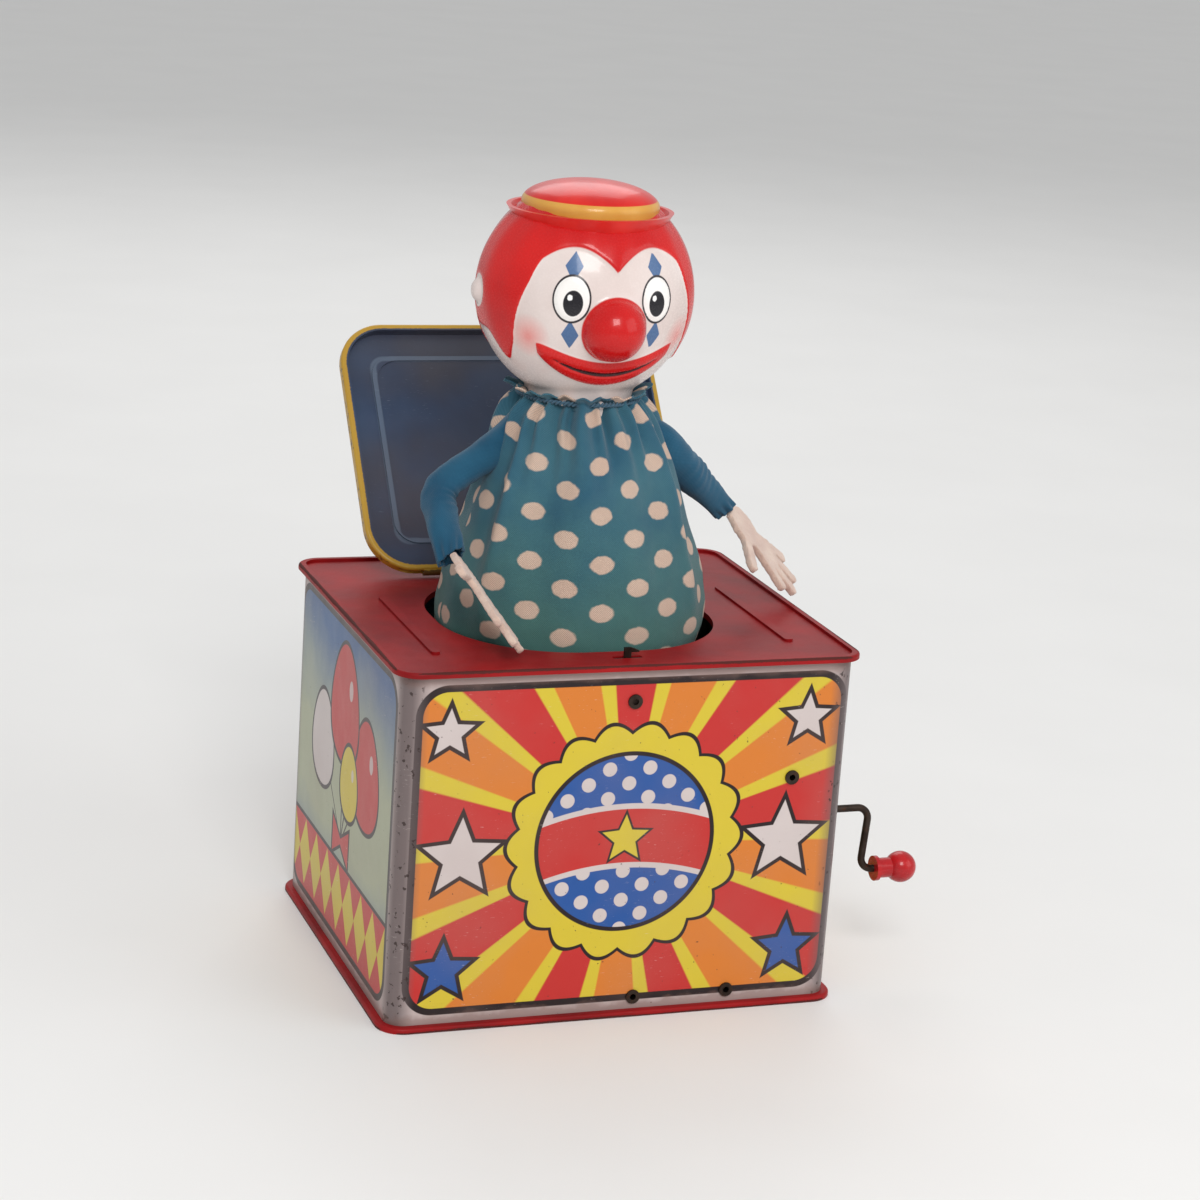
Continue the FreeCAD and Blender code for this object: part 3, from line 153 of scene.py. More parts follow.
class Finish:
    """A material in the making, with millimetre coordinates of the piece it is for."""

    def __init__(self, name, **constants):
        self.material = bpy.data.materials.new(name)
        self.material.use_nodes = True
        self.tree = self.material.node_tree
        self.shader = self.tree.nodes["Principled BSDF"]
        for words, value in constants.items():
            socket = words.replace("_", " ").title().replace("Ior", "IOR")
            self.shader.inputs[socket].default_value = value
        place = self.add("ShaderNodeTexCoord").outputs["Object"]
        self.mm = self.add("ShaderNodeVectorMath", {0: place, "Scale": 1000.0}, operation="SCALE").outputs[0]

    def add(self, kind, inputs=None, **settings):
        node = self.tree.nodes.new(kind)
        for key, value in settings.items():
            setattr(node, key, value)
        for key, value in (inputs or {}).items():
            value = value.socket if isinstance(value, Field) else value
            if isinstance(value, bpy.types.NodeSocket):
                self.tree.links.new(value, node.inputs[key])
            else:
                node.inputs[key].default_value = value
        return node

    def axes(self, vector=None):
        """The three sides of the place on the piece, in millimetres."""
        parts = self.add("ShaderNodeSeparateXYZ", {0: vector or self.mm})
        return [Field(self.tree, out) for out in parts.outputs]

    def noise(self, scale, detail=3.0, rough=0.5, stretch=(1, 1, 1)):
        """Cloudy noise from 0 to 1, about one lump for each 1 / scale millimetres."""
        place = self.add("ShaderNodeVectorMath", {0: self.mm, 1: stretch}, operation="MULTIPLY").outputs[0]
        sizes = {"Vector": place, "Scale": scale, "Detail": detail, "Roughness": rough}
        return Field(self.tree, self.add("ShaderNodeTexNoise", sizes).outputs["Fac"])

    def stored(self, name):
        """A number kept on the piece's own points."""
        return Field(self.tree, self.add("ShaderNodeAttribute", attribute_name=name).outputs["Fac"])

    def blend(self, under, over, mask):
        """One colour laid over another where the mask is 1."""
        return self.add("ShaderNodeMix", {0: mask, 6: under, 7: over}, data_type="RGBA").outputs[2]

    def mottled(self, deep, pale, cloud):
        """A colour that drifts between two tones with the clouds."""
        return self.blend(deep, pale, cloud.between(0.3, 0.7))

    def done(self, colour, rough, height=None, depth=0.0001):
        """Joins the colour, the roughness and the relief to the shader."""
        self.tree.links.new(colour, self.shader.inputs["Base Color"])
        self.tree.links.new(rough.socket, self.shader.inputs["Roughness"])
        if height is not None:
            bump = self.add("ShaderNodeBump", {"Height": height, "Distance": depth, "Strength": 1.0})
            self.tree.links.new(bump.outputs[0], self.shader.inputs["Normal"])
        return self.material


floor_mesh = bpy.data.meshes.new("floor")
floor_reach = 12.0
floor_corners = [(x * floor_reach, y * floor_reach, 0) for x, y in ((-1, -1), (1, -1), (1, 1), (-1, 1))]
floor_mesh.from_pydata(floor_corners, [], [(0, 1, 2, 3)])
floor = bpy.data.objects.new("floor", floor_mesh)
bpy.context.collection.objects.link(floor)
paper = Finish("pale_paper")
paper_cloud = paper.noise(0.01)
paper_colour = paper.blend(srgb(232, 231, 229), srgb(238, 237, 235), paper_cloud)
floor_mesh.materials.append(paper.done(paper_colour, paper_cloud * 0.1 + 0.7))


# The red tin: base and top plates pressed from thin steel, with rolled rims, dipped in red lacquer
# that has dulled and is chipped to brown metal along the rims and round the opening.
def corners(node):
    """The low and the high corner of a formed piece, in millimetres."""
    return [np.array(corner) * 1000 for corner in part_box(node)]


def coat(material, *names):
    """Gives formed pieces of the box their finish."""
    for name in names:
        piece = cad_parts[name].data
        piece.materials.clear()
        piece.materials.append(material)


def red_lacquer(name, edge):
    """Dulled red lacquer that is chipped where the edge, a function of the finish, is below nought."""
    tin = Finish(name, coat_weight=0.05, coat_roughness=0.3, specular_ior_level=0.12)
    cloud = tin.noise(0.035, 3)
    grain = tin.noise(1.6, 4, 0.6)
    scuff = tin.noise(0.5, 5, 0.65, (1, 6, 6)).between(0.62, 0.72) * tin.noise(0.06).between(0.5, 0.62)
    chip = (edge(tin) + grain * 0.5 - 0.5).inside(0.12)
    colour = tin.mottled(red_deep, red_paint, cloud)
    colour = tin.blend(colour, srgb(188, 110, 100), scuff * 0.35)
    colour = tin.blend(colour, srgb(62, 38, 34), chip * 0.85)
    rough = grain * 0.16 + cloud * 0.14 + chip * 0.25 + 0.3
    return tin.done(colour, rough, tin.noise(0.09, 2) + grain * 0.05 - chip * 0.3, 0.0004)


def plate_edge(tin):
    """How far a point is in from the worn edges of the top and base plates."""
    x, y, z = tin.axes()
    outline = (-abs(x) + plate_half_wide).least(-abs(y) + plate_half_deep)
    outline = outline.most(-abs(z - plate_top / 2) + plate_top / 2 + 0.3)
    return outline * 0.9 - tin.noise(0.05, 2) * 1.1


red_paint, red_deep = srgb(160, 25, 27), srgb(120, 16, 20)
plate_half_wide, plate_half_deep, plate_top = corners("top_plate")[1]
coat(red_lacquer("red_tin", plate_edge), "top_plate", "base_plate")
coat(red_lacquer("red_bracket", lambda tin: tin.noise(0.4) * 3.0),
     "hinge_bracket_left", "hinge_bracket_right")


# The printed wall: one strip of tinplate bent round four corners and seamed at the back. It is
# printed in flat inks on a pinkish white ground and varnished, with rubbed corners.
def rounded_frame(u, v, half_wide, half_tall, corner):
    """Distance outside a rectangle with round corners."""
    side = abs(u) - (half_wide - corner)
    top = abs(v) - (half_tall - corner)
    return side.most(0.0).long(top.most(0.0)) + side.most(top).least(0.0) - corner


def star(u, v, radius, waist=0.45):
    """Distance outside a star of five points."""
    fifth = 0.4 * math.pi
    wedge = abs((u.math("ARCTAN2", v) + fifth / 2).math("FLOORED_MODULO", fifth) - fifth / 2)
    reach = u.long(v)
    notch = Vector((math.cos(fifth / 2), math.sin(fifth / 2))) * radius * waist
    edge = (notch - Vector((radius, 0))).normalized()
    return (reach * wedge.math("COSINE") - radius) * edge.y - reach * wedge.math("SINE") * edge.x


def disc(u, v, radius):
    """Distance outside a disc."""
    return u.long(v) - radius


def staggered(u, v, across, down):
    """Places within the cells of a pattern whose every other column is half a step lower."""
    column = (u / across).math("ROUND")
    odd = abs(column).math("FLOORED_MODULO", 2.0)
    return u - column * across, (v + odd * (down / 2) + down * 50.5).math("FLOORED_MODULO", down) - down / 2


def inked(finish, under, ink, shape, line=1.3):
    """A shape printed in one ink with a black line round it."""
    under = finish.blend(under, ink_black, (shape - line).inside())
    return finish.blend(under, ink, shape.inside())


wall = Finish("printed_tin", coat_weight=0.12, coat_roughness=0.2, specular_ior_level=0.22)
x, y, z = wall.axes()
wall_half_wide, wall_half_deep = corners("box_wrap")[1][0], -corners("box_wrap")[0][1]
ink_black, ink_red, ink_orange = srgb(36, 25, 27), srgb(188, 47, 44), srgb(208, 120, 46)
ink_yellow, ink_blue, ink_white = srgb(206, 184, 54), srgb(38, 82, 150), srgb(202, 190, 187)
ground = wall.blend(srgb(170, 152, 149), srgb(194, 179, 176), wall.noise(0.04, 4))

# front: a sunburst behind a dotted ball, with a star on each side and small stars in the corners
v = z - plate_top / 2
rays = 9
turn = x.math("ARCTAN2", v) * (rays / math.pi)
ray = turn.math("PINGPONG", 1.0)
front = wall.blend(ink_red, ink_orange, (-ray + 0.5).inside(0.03))
front = wall.blend(front, ink_yellow, (abs(ray - 0.5) - 0.13).inside(0.03))
reach = x.long(v)
scallop_depth, scallop_radius = 3.4, 35.0
scallops = abs((turn * math.pi).math("SINE")) * scallop_depth + scallop_radius
ball_radius, ball_line, belt_half, belt_hem = 29.6, 1.4, 8.8, 10.6
dot_across, dot_down, dot_radius = 6.6, 9.6, 2.3
front = inked(wall, front, ink_yellow, reach - scallops)
ball = wall.blend(ink_blue, ink_white, disc(*staggered(x, v, dot_across, dot_down), dot_radius).inside())
belt = abs(v + x * x * 0.006 - 2.0)
ball = wall.blend(ball, ink_white, (belt - belt_hem).inside())
ball = wall.blend(ball, ink_red, (belt - belt_half).inside())
ball = inked(wall, ball, ink_yellow, star(x, v - 1.0, 8.0), 0.7)
front = inked(wall, front, ball, reach - ball_radius + ball_line, ball_line)
for apart, height, radius, ink in ((53.0, -2.0, 13.0, ink_white), (58.5, 38.0, 8.0, ink_white),
                                   (57.0, -39.0, 9.5, ink_blue)):
    front = inked(wall, front, ink, star(abs(x) - apart, v - height, radius))
frame_corner, frame_half_tall = 9.0, 52.2
front_shift, front_half_wide = 0.9, 69.3
front_frame = rounded_frame(x - front_shift, v, front_half_wide, frame_half_tall, frame_corner)

# sides and back: a bunch of balloons tied with a bow against a fading sky, over harlequin diamonds
is_back = abs(abs(y) - wall_half_deep).math("LESS_THAN", 3.2)
side_shift, side_half_wide, back_half_wide = 1.25, 57.25, 68.5
along = (x * is_back) + (y - side_shift) * (-is_back + 1.0)
sky_glow = (wall.noise(0.03, 4) * 34.0 - abs(v + 2.0) + 20.0).between(-14.0, 22.0)
side_art = wall.blend(srgb(50, 92, 142), srgb(166, 170, 142), sky_glow)
knot_left, knot_low = -1.0, -19.0
for left, height, tall, ink in ((-27.0, 12.0, 19.0, ink_red), (25.0, 8.0, 17.0, ink_white),
                                (0.0, 27.0, 21.0, ink_red), (-8.0, 3.0, 13.0, ink_yellow)):
    drop = v - height
    share = (drop / (knot_low - height)).between(0.0, 1.0)
    string = abs(along - left - share * (knot_left - left)).most(drop).most(-v + knot_low)
    side_art = wall.blend(side_art, ink_black, (string - 0.5).inside())
    bag = ((along - left) * (drop * 0.012 + 1.12)).long(drop * 0.92) - tall * 0.86
    side_art = inked(wall, side_art, ink, bag)
    glint = disc((along - left + tall * 0.3) * 1.5, drop - tall * 0.3, tall * 0.16)
    side_art = wall.blend(side_art, ink_white, glint.inside() * 0.8)
bow_along = abs(along - knot_left)
bow = (abs(v - knot_low) - bow_along * 0.55 - 0.9).most(bow_along - 9.5)
side_art = inked(wall, side_art, ink_red, bow)
skirting, lozenge_wide, lozenge_tall, lozenge_drop = -26.0, 7.0, 11.5, 12.5
lozenge_across = along.math("PINGPONG", lozenge_wide) / lozenge_wide
lozenge_down = abs(v - skirting + lozenge_drop) / lozenge_tall
lozenge = (lozenge_across + lozenge_down - 1.0) * 5.0
side_art = wall.blend(side_art, ink_red, (v - skirting).inside())
side_art = wall.blend(side_art, ink_yellow, lozenge.inside() * (v - skirting).inside())
side_art = wall.blend(side_art, ink_black, (abs(v - skirting) - 0.7).inside())
panel_half_wide = is_back * (back_half_wide - side_half_wide) + side_half_wide
side_frame = rounded_frame(along, v, panel_half_wide, frame_half_tall, frame_corner)

# the two kinds of panel on their ground, corner bands partly of painted shade, rubbed and nicked corners,
# scratches and specks
is_front = (-y - wall_half_deep - abs(x) + wall_half_wide).between(-0.05, 0.05)
panel = wall.blend(side_art, front, is_front)
frame_line = (side_frame * (-is_front + 1.0)) + (front_frame * is_front)
print_colour = wall.blend(ground, panel, frame_line.inside())
print_colour = wall.blend(print_colour, ink_black, (abs(frame_line) - 1.1).inside())
grain = wall.noise(1.8, 4, 0.6)
fade = wall.noise(0.025, 3)
print_colour = wall.blend(print_colour, srgb(150, 128, 120), fade.between(0.45, 0.8) * 0.22)
corner = (abs(x) - wall_half_wide).long(abs(y) - wall_half_deep)
corner_shade_reach, rub_reach, nick_reach = 5.6, 5.0, 6.0
# painted shade and wear: a dark grey band round each rounded corner, partly wear and partly the shade where
# the corner turns from the light
print_colour = wall.blend(print_colour, srgb(98, 86, 86), (corner - corner_shade_reach).inside(5.0) * 0.85)
rub = (corner - rub_reach + grain * 2.0 + wall.noise(0.12, 3) * 5.0).inside(0.5)
print_colour = wall.blend(print_colour, srgb(92, 78, 74), rub * 0.65)
nick = wall.noise(0.5, 3).between(0.63, 0.66) * (corner - nick_reach).inside(1.0)
print_colour = wall.blend(print_colour, srgb(52, 38, 36), nick * 0.85)
scratch = wall.noise(0.35, 6, 0.7, (1, 1, 7)).between(0.63, 0.67) * wall.noise(0.05).between(0.48, 0.56)
print_colour = wall.blend(print_colour, srgb(214, 203, 198), scratch * 0.45)
speck = wall.noise(0.9, 2).between(0.74, 0.77)
print_colour = wall.blend(print_colour, srgb(70, 52, 46), speck * 0.8)
# darker along the foot of the wall and just under the top plate's rim
foot_darkening = (z - 2.0 - wall.noise(0.2, 4) * 5.0).inside(2.0)
rim_darkening = (-z + plate_top - 3.5 - wall.noise(0.2, 4) * 3.0).inside(2.0)
print_colour = wall.blend(print_colour, srgb(120, 92, 84), foot_darkening.most(rim_darkening) * 0.5)
coat(wall.done(print_colour, grain * 0.14 + fade * 0.14 + rub * 0.2 + 0.2,
               wall.noise(0.05, 2) + grain * 0.02 - speck * 0.2, 0.0006), "box_wrap")

# The lid: a pressed cover with a rolled edge and a raised border, slate blue inside, red outside,
# with the edge dipped in yellow. It leans back on its pin, so its own up and out are turned.
_, hinge_y, hinge_z = sum(corners("hinge_pin")) / 2
lid_half_wide, lid_half_long, lid_corner = corners("lid")[1][0], 46.0, 16.0
lid_middle, lid_inside, lid_swing = -45.4, 1.65, math.radians(129.7)
border_in, border_highlight_half, edge_band, lid_star = 11.8, 1.0, 2.0, 26.0
cover = Finish("lid_tin", coat_weight=0.1, coat_roughness=0.25, specular_ior_level=0.35)
x, y, z = cover.axes()
lid_out = (y - hinge_y) * math.cos(lid_swing) - (z - hinge_z) * math.sin(lid_swing)
lid_up = (y - hinge_y) * math.sin(lid_swing) + (z - hinge_z) * math.cos(lid_swing)
cloud = cover.noise(0.03, 4)
grain = cover.noise(1.5, 4, 0.6)
lid_edge = rounded_frame(x, lid_out - lid_middle, lid_half_wide, lid_half_long, lid_corner)
inner = cover.mottled(srgb(34, 52, 80), srgb(54, 74, 102), cloud)
inner = cover.blend(inner, srgb(70, 62, 58), cover.noise(0.016, 3).between(0.42, 0.62) * 0.6)
# painted highlight: a pale line along the raised border inside the lid, where its ridge catches the light
inner = cover.blend(inner, srgb(112, 128, 146), (abs(lid_edge + border_in) - border_highlight_half).inside(0.6) * 0.4)
outer = cover.mottled(red_deep, red_paint, cloud)
outer = inked(cover, outer, ink_yellow, star(x, lid_out - lid_middle, lid_star), 1.4)
lid_colour = cover.blend(inner, outer, (-lid_up + lid_inside).inside())
edge_paint = cover.blend(srgb(170, 128, 38), srgb(192, 154, 54), cloud)
lid_colour = cover.blend(lid_colour, edge_paint, (-lid_edge - edge_band + grain * 0.5).inside(0.3))
chips = (-lid_edge + 0.82 - cover.noise(0.5, 4) * 1.4).inside(0.12) * cover.noise(0.06).between(0.4, 0.5)
lid_colour = cover.blend(lid_colour, srgb(74, 58, 44), chips * 0.8)
scuff = cover.noise(0.4, 5, 0.65, (1, 5, 5)).between(0.62, 0.72) * cover.noise(0.05).between(0.5, 0.62)
lid_colour = cover.blend(lid_colour, srgb(150, 160, 172), scuff * 0.25)
coat(cover.done(lid_colour, grain * 0.15 + cloud * 0.15 + 0.22, cover.noise(0.06, 2) + grain * 0.03, 0.0005),
     "lid")


# The bare metal: nickelled steel for the pins, springs and movement, browned steel for the crank,
# latch and eyelets, and brass for the drum and its pinion, drawn or turned and lightly tarnished.
def drawn_metal(name, bright, tarnish, low_rough, stretch=(1, 6, 6), rust=0.0):
    """Metal with fine drawing lines, clouds of tarnish and, where asked for, flecks of rust."""
    metal = Finish(name, metallic=1.0)
    lines = metal.noise(2.2, 4, 0.6, stretch)
    cloud = metal.noise(0.2, 4)
    colour = metal.blend(bright, tarnish, cloud.between(0.4, 0.75))
    colour = metal.blend(colour, srgb(92, 52, 32), metal.noise(0.6, 5, 0.65).between(0.56, 0.7) * rust)
    return metal.done(colour, lines * 0.2 + cloud * 0.15 + low_rough, lines, 0.00005)


steel = drawn_metal("nickelled_steel", srgb(196, 194, 190), srgb(146, 140, 132), 0.18)
coat(steel, "hinge_pin", "music_frame", "shaft_clips", "drum_axle",
     "music_comb", "comb_bridge", "comb_screws", "spring_clips", "latch_spring")
coat(drawn_metal("browned_steel", srgb(70, 60, 54), srgb(46, 38, 34), 0.34, (6, 6, 1), 0.6),
     "crank", "crank_bushing", "frame_rivets", "lid_catch", "latch_lever", "latch_post")
coat(drawn_metal("drum_brass", srgb(206, 172, 98), srgb(160, 122, 62), 0.2), "music_drum", "drive_pinion")


# The plastics and board: a red crank knob, a white drum gear and cam, and the fibre board discs at
# the two ends of the puppet spring.
def moulded(name, tone, deep, low_rough, scuffed, **constants):
    """Cloudy plastic with a fine grain and chalky scuffs."""
    plastic = Finish(name, **constants)
    cloud = plastic.noise(0.12, 3)
    grain = plastic.noise(2.5, 4, 0.6)
    scuff = plastic.noise(1.2, 5, 0.7).between(0.6, 0.75)
    chalky = tuple(min(1.0, c * 1.2 + 0.06) for c in tone[:3]) + (1.0,)
    colour = plastic.blend(deep, tone, cloud.between(0.3, 0.65))
    colour = plastic.blend(colour, chalky, scuff * scuffed)
    return plastic.done(colour, grain * 0.12 + scuff * 0.25 + low_rough, cloud + grain * 0.08, 0.00015)


coat(moulded("knob_plastic", srgb(186, 24, 30), srgb(154, 18, 26), 0.2, 0.3, coat_weight=0.3,
             specular_ior_level=0.25), "crank_knob")
coat(moulded("gear_plastic", srgb(222, 218, 206), srgb(204, 198, 184), 0.3, 0.3), "drum_gear", "trip_cam")
board = Finish("fibre_board")
fleck = board.noise(0.8, 6, 0.7, (1, 1, 4))
board_colour = board.mottled(srgb(120, 88, 58), srgb(164, 128, 88), fleck)
coat(board.done(board_colour, fleck * 0.2 + 0.65, fleck, 0.0002), "spring_base", "neck_plug")


# The puppet spring: a cone of hard steel wire that throws the puppet up, clipped to the base disc
# and seated under the neck plug. In the toy it presses flat as the puppet goes down; this coil keeps one
# shape.
def new_piece(name, mesh):
    """A mesh put in the scene as a piece of the toy."""
    piece = bpy.data.objects.new(name, mesh)
    bpy.context.collection.objects.link(piece)
    return piece


def settled(piece):
    """The piece's mesh with its modifiers worked in, and the modifiers taken off."""
    shape = bpy.data.meshes.new_from_object(piece.evaluated_get(bpy.context.evaluated_depsgraph_get()))
    piece.modifiers.clear()
    piece.data = shape
    for face in shape.polygons:
        face.use_smooth = True
    return piece


def wound_wire(name, inputs, material):
    """A coil of round wire, wound by a node tree from named sizes."""
    tree = bpy.data.node_groups.new(name + "_winding", "GeometryNodeTree")
    tree.interface.new_socket("Geometry", in_out="OUTPUT", socket_type="NodeSocketGeometry")
    sockets = {}
    for label, value in inputs.items():
        kind = "NodeSocketVector" if isinstance(value, tuple) else "NodeSocketFloat"
        sockets[label] = tree.interface.new_socket(label, in_out="INPUT", socket_type=kind)
    given = tree.nodes.new("NodeGroupInput")
    path = tree.nodes.new("GeometryNodeCurveSpiral")
    path.inputs["Resolution"].default_value = 48
    ring = tree.nodes.new("GeometryNodeCurvePrimitiveCircle")
    ring.inputs["Resolution"].default_value = 12
    sweep = tree.nodes.new("GeometryNodeCurveToMesh")
    sweep.inputs["Fill Caps"].default_value = True
    seat = tree.nodes.new("GeometryNodeTransform")
    realize = tree.nodes.new("GeometryNodeRealizeInstances")
    painted = tree.nodes.new("GeometryNodeSetMaterial")
    painted.inputs["Material"].default_value = material
    finished = tree.nodes.new("NodeGroupOutput")
    for label, target in (("Turns", path.inputs["Rotations"]), ("Low radius", path.inputs["Start Radius"]),
                          ("High radius", path.inputs["End Radius"]), ("Height", path.inputs["Height"]),
                          ("Wire radius", ring.inputs["Radius"]), ("Seat", seat.inputs["Translation"])):
        tree.links.new(given.outputs[label], target)
    chain = (path, sweep, seat, realize, painted, finished)
    for source, target in zip(chain, chain[1:]):
        tree.links.new(source.outputs[0], target.inputs[0])
    tree.links.new(ring.outputs[0], sweep.inputs["Profile Curve"])
    piece = new_piece(name, bpy.data.meshes.new(name))
    winding = piece.modifiers.new("winding", "NODES")
    winding.node_group = tree
    for label, value in inputs.items():
        winding[sockets[label].identifier] = value
    return settled(piece)


puppet_x, puppet_y, _ = sum(corners("neck_plug")) / 2
disc_top, neck_low = corners("puppet_spring")[0][2] / 1000, corners("puppet_spring")[1][2] / 1000
wire_radius, wire_seat = 0.0008, 0.0009
coil = wound_wire("puppet_coil", {
    "Turns": 10.0, "Low radius": 0.030, "High radius": 0.012, "Wire radius": wire_radius,
    "Height": neck_low - disc_top - 2 * wire_seat,
    "Seat": (puppet_x / 1000, puppet_y / 1000, disc_top + wire_seat)}, steel)
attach(coil, "box")
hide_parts("puppet_spring")
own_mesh(coil)

# The dress: printed cotton cut as a front and a back, sewn up the sides, glued round the base disc
# and gathered under the chin. It covers the spring from the box floor to the neck.
hem_low, chin, collar_top = 3.9, sum(corners("neck_tie"))[2] / 2, 190.0
dress_levels = np.array([  # height, half width, half depth, middle, in millimetres
    (hem_low, 33.2, 33.2, -5.0), (60.0, 35.4, 33.7, -4.5), (102.0, 40.3, 34.7, -3.2),
    (plate_top, 44.1, 35.5, -2.5), (129.0, 42.3, 33.7, -2.5), (152.0, 34.8, 29.5, -3.0),
    (173.6, 26.9, 25.2, -4.2), (183.0, 22.5, 21.3, -5.0), (186.8, 19.0, 19.0, -5.0),
    (chin, 18.2, 18.2, -5.0), (189.0, 19.4, 19.2, -5.0), (collar_top, 21.8, 20.8, -5.0)])


def dress_line(height):
    """Half width, half depth and middle of the dress at some heights, as smooth lines through the levels."""
    lines = []
    for column in (1, 2, 3):
        knots, values = dress_levels[:, 0], dress_levels[:, column]
        slope = np.gradient(values, knots)
        i = np.clip(np.searchsorted(knots, height, "right") - 1, 0, len(knots) - 2)
        span = knots[i + 1] - knots[i]
        t = (height - knots[i]) / span
        lines.append(values[i] * (1 + 2 * t) * (1 - t) ** 2 + slope[i] * span * t * (1 - t) ** 2
                     + values[i + 1] * t * t * (3 - 2 * t) - slope[i + 1] * span * t * t * (1 - t))
    return lines


def cloth_grid(name, points, closed, flat=None):
    """A smooth sheet through a grid of points in millimetres, rows by columns. Its flat places, in
    millimetres, are given for the two sides of each column of faces."""
    rows, columns = points.shape[:2]
    wrap = columns if closed else columns - 1
    faces = []
    for r in range(rows - 1):
        low, high = r * columns, (r + 1) * columns
        faces += [(low + c, low + (c + 1) % columns, high + (c + 1) % columns, high + c) for c in range(wrap)]
    mesh = bpy.data.meshes.new(name)
    mesh.from_pydata([tuple(p) for p in (points.reshape(-1, 3) / 1000)], [], faces)
    if flat is not None:
        layer = mesh.uv_layers.new(name="flat")
        near, far = (side[:, :wrap] for side in flat)
        around = np.stack([near[:-1], far[:-1], far[1:], near[1:]], axis=2)
        layer.data.foreach_set("uv", around.astype(np.float32).ravel())
    for face in mesh.polygons:
        face.use_smooth = True
    return new_piece(name, mesh)


def crinkle(points, scale, seed):
    """Smooth noise at some points, from about -1 to 1."""
    shift = Vector((seed, 0.3 * seed, 7.0))
    values = [noise.noise(Vector(p) * scale + shift) for p in points.reshape(-1, 3)]
    return np.array(values).reshape(points.shape[:2])


def bell(distance, width):
    """A smooth bump, 1 in the middle."""
    return np.exp(-(distance / width) ** 2)


rows, columns, collar_rows, gathers = 132, 256, 30, 24
height = np.concatenate([np.linspace(hem_low, chin - 6.0, rows - collar_rows),
                         np.linspace(chin - 5.2, collar_top, collar_rows)])[:, None]
angle = np.linspace(0, 2 * np.pi, columns, endpoint=False)[None, :]
half_wide, half_deep, middle = dress_line(height)
above = np.clip((height - plate_top + 4.0) / 70, 0, 1)
gather = bell(height - chin, 16.0)
wander = 0.5 * np.sin(height / 31.0) + 0.25 * np.sin(height / 13.0)
folds = (0.9 * np.cos(7 * angle + wander) + 0.7 * np.cos(11 * angle - 1.3 * wander + 1.0)) * (0.35 + above)
frill = 1.2 * np.cos(gathers * angle + 2 * wander) + 0.6 * np.cos(37 * angle + 1.1)
folds += gather * frill * np.where(height > chin - 1.5, 0.55, 1.0)
for seam, lift, valley in ((np.pi * 1.18, 2.4, -0.2), (-0.75, 1.4, 0.2)):
    swing_to = np.angle(np.exp(1j * (angle - seam)))
    pleat = bell(swing_to, 0.07) - 0.8 * bell(swing_to - valley, 0.13)
    folds += lift * np.clip(above * 1.6, 0, 1) * (1 - 0.8 * gather) * pleat
dress_points = np.stack([middle + (half_wide + folds) * np.cos(angle),
                         puppet_y + (half_deep + folds) * np.sin(angle),
                         height + 0.6 * gather * np.cos(gathers * angle)], axis=2)
outward = np.stack([np.cos(angle) + 0 * height, np.sin(angle) + 0 * height, 0 * angle * height], axis=2)
dress_wrinkles = crinkle(dress_points, 0.055, 3.0) * 0.9 + crinkle(dress_points, 0.16, 9.0) * 0.35
dress_points += outward * dress_wrinkles[:, :, None]
# flat places: each half is measured from its middle, and drawn in a little towards the gathers
full_turn = 2 * np.pi * np.sqrt((half_wide ** 2 + half_deep ** 2) / 2)
widest_turn, front_middle, back_middle = 242.0, 200.0, 410.3
step_round = 2 * np.pi / columns
at_front = np.sin(angle + step_round / 2) < 0
half_middle = np.where(at_front, -np.pi / 2, np.pi / 2)
climb = np.hypot(np.diff(height[:, 0]), np.diff(half_deep[:, 0]))
flat_v = np.concatenate([[0], np.cumsum(climb)])[:, None] + 0 * angle
flat_sides = []
for corner_angle in (angle, angle + step_round):
    round_it = np.angle(np.exp(1j * (corner_angle - half_middle))) / (2 * np.pi)
    flat_u = round_it * full_turn * (widest_turn / full_turn) ** 0.35
    flat_u += np.where(at_front, front_middle, back_middle)
    flat_sides.append(np.stack([flat_u, flat_v], axis=2))
dress = cloth_grid("dotted_dress", dress_points, True, flat_sides)


def cotton(name, deep, pale, low, dots=None):
    """Plain woven cotton that fades towards the hem, with printed ovals in staggered columns."""
    thread_step, fade_above, fade_below = 0.62, 36.0, 10.0
    cloth = Finish(name, sheen_weight=0.18, sheen_roughness=0.5, specular_ior_level=0.15)
    u, v, _ = cloth.axes(cloth.add("ShaderNodeUVMap", uv_map="flat").outputs[0])
    warp = (u * (2 * math.pi / thread_step)).math("SINE")
    weft = (v * (2 * math.pi / thread_step)).math("SINE")
    weave = warp * weft * 0.25 + 0.5
    _, _, z = cloth.axes()
    cloud = cloth.noise(0.06, 4)
    colour = cloth.mottled(deep, pale, cloud)
    fade = (-z + cloud * 20.0).between(-fade_above - plate_top, fade_below - plate_top)
    colour = cloth.blend(colour, low, fade * 0.75)
    if dots:
        across, down, wide, tall = dots
        du, dv = staggered(u, v, across, down)
        wobble = cloth.noise(0.5, 2) * 0.9 - 0.45
        oval = ((du / wide).long(dv / tall) - 1.0) * tall + wobble
        dye = cloth.blend(srgb(206, 172, 150), srgb(222, 196, 176), cloud)
        colour = cloth.blend(colour, dye, oval.inside(0.5) * (cloth.noise(1.6, 3) * 0.2 + 0.85))
    shade = tuple(c * 0.55 for c in deep[:3]) + (1.0,)
    colour = cloth.blend(colour, shade, weave.between(0.62, 0.3) * 0.35)
    return cloth.done(colour, cloud * 0.1 + 0.78, weave + cloth.noise(0.3, 3) * 0.8, 0.00025)


def thickened(piece, thickness=0.0005):
    """A sheet given its thickness inwards, as a plain mesh."""
    inward = piece.modifiers.new("thickness", "SOLIDIFY")
    inward.thickness = thickness
    inward.offset = -1.0
    return settled(piece)


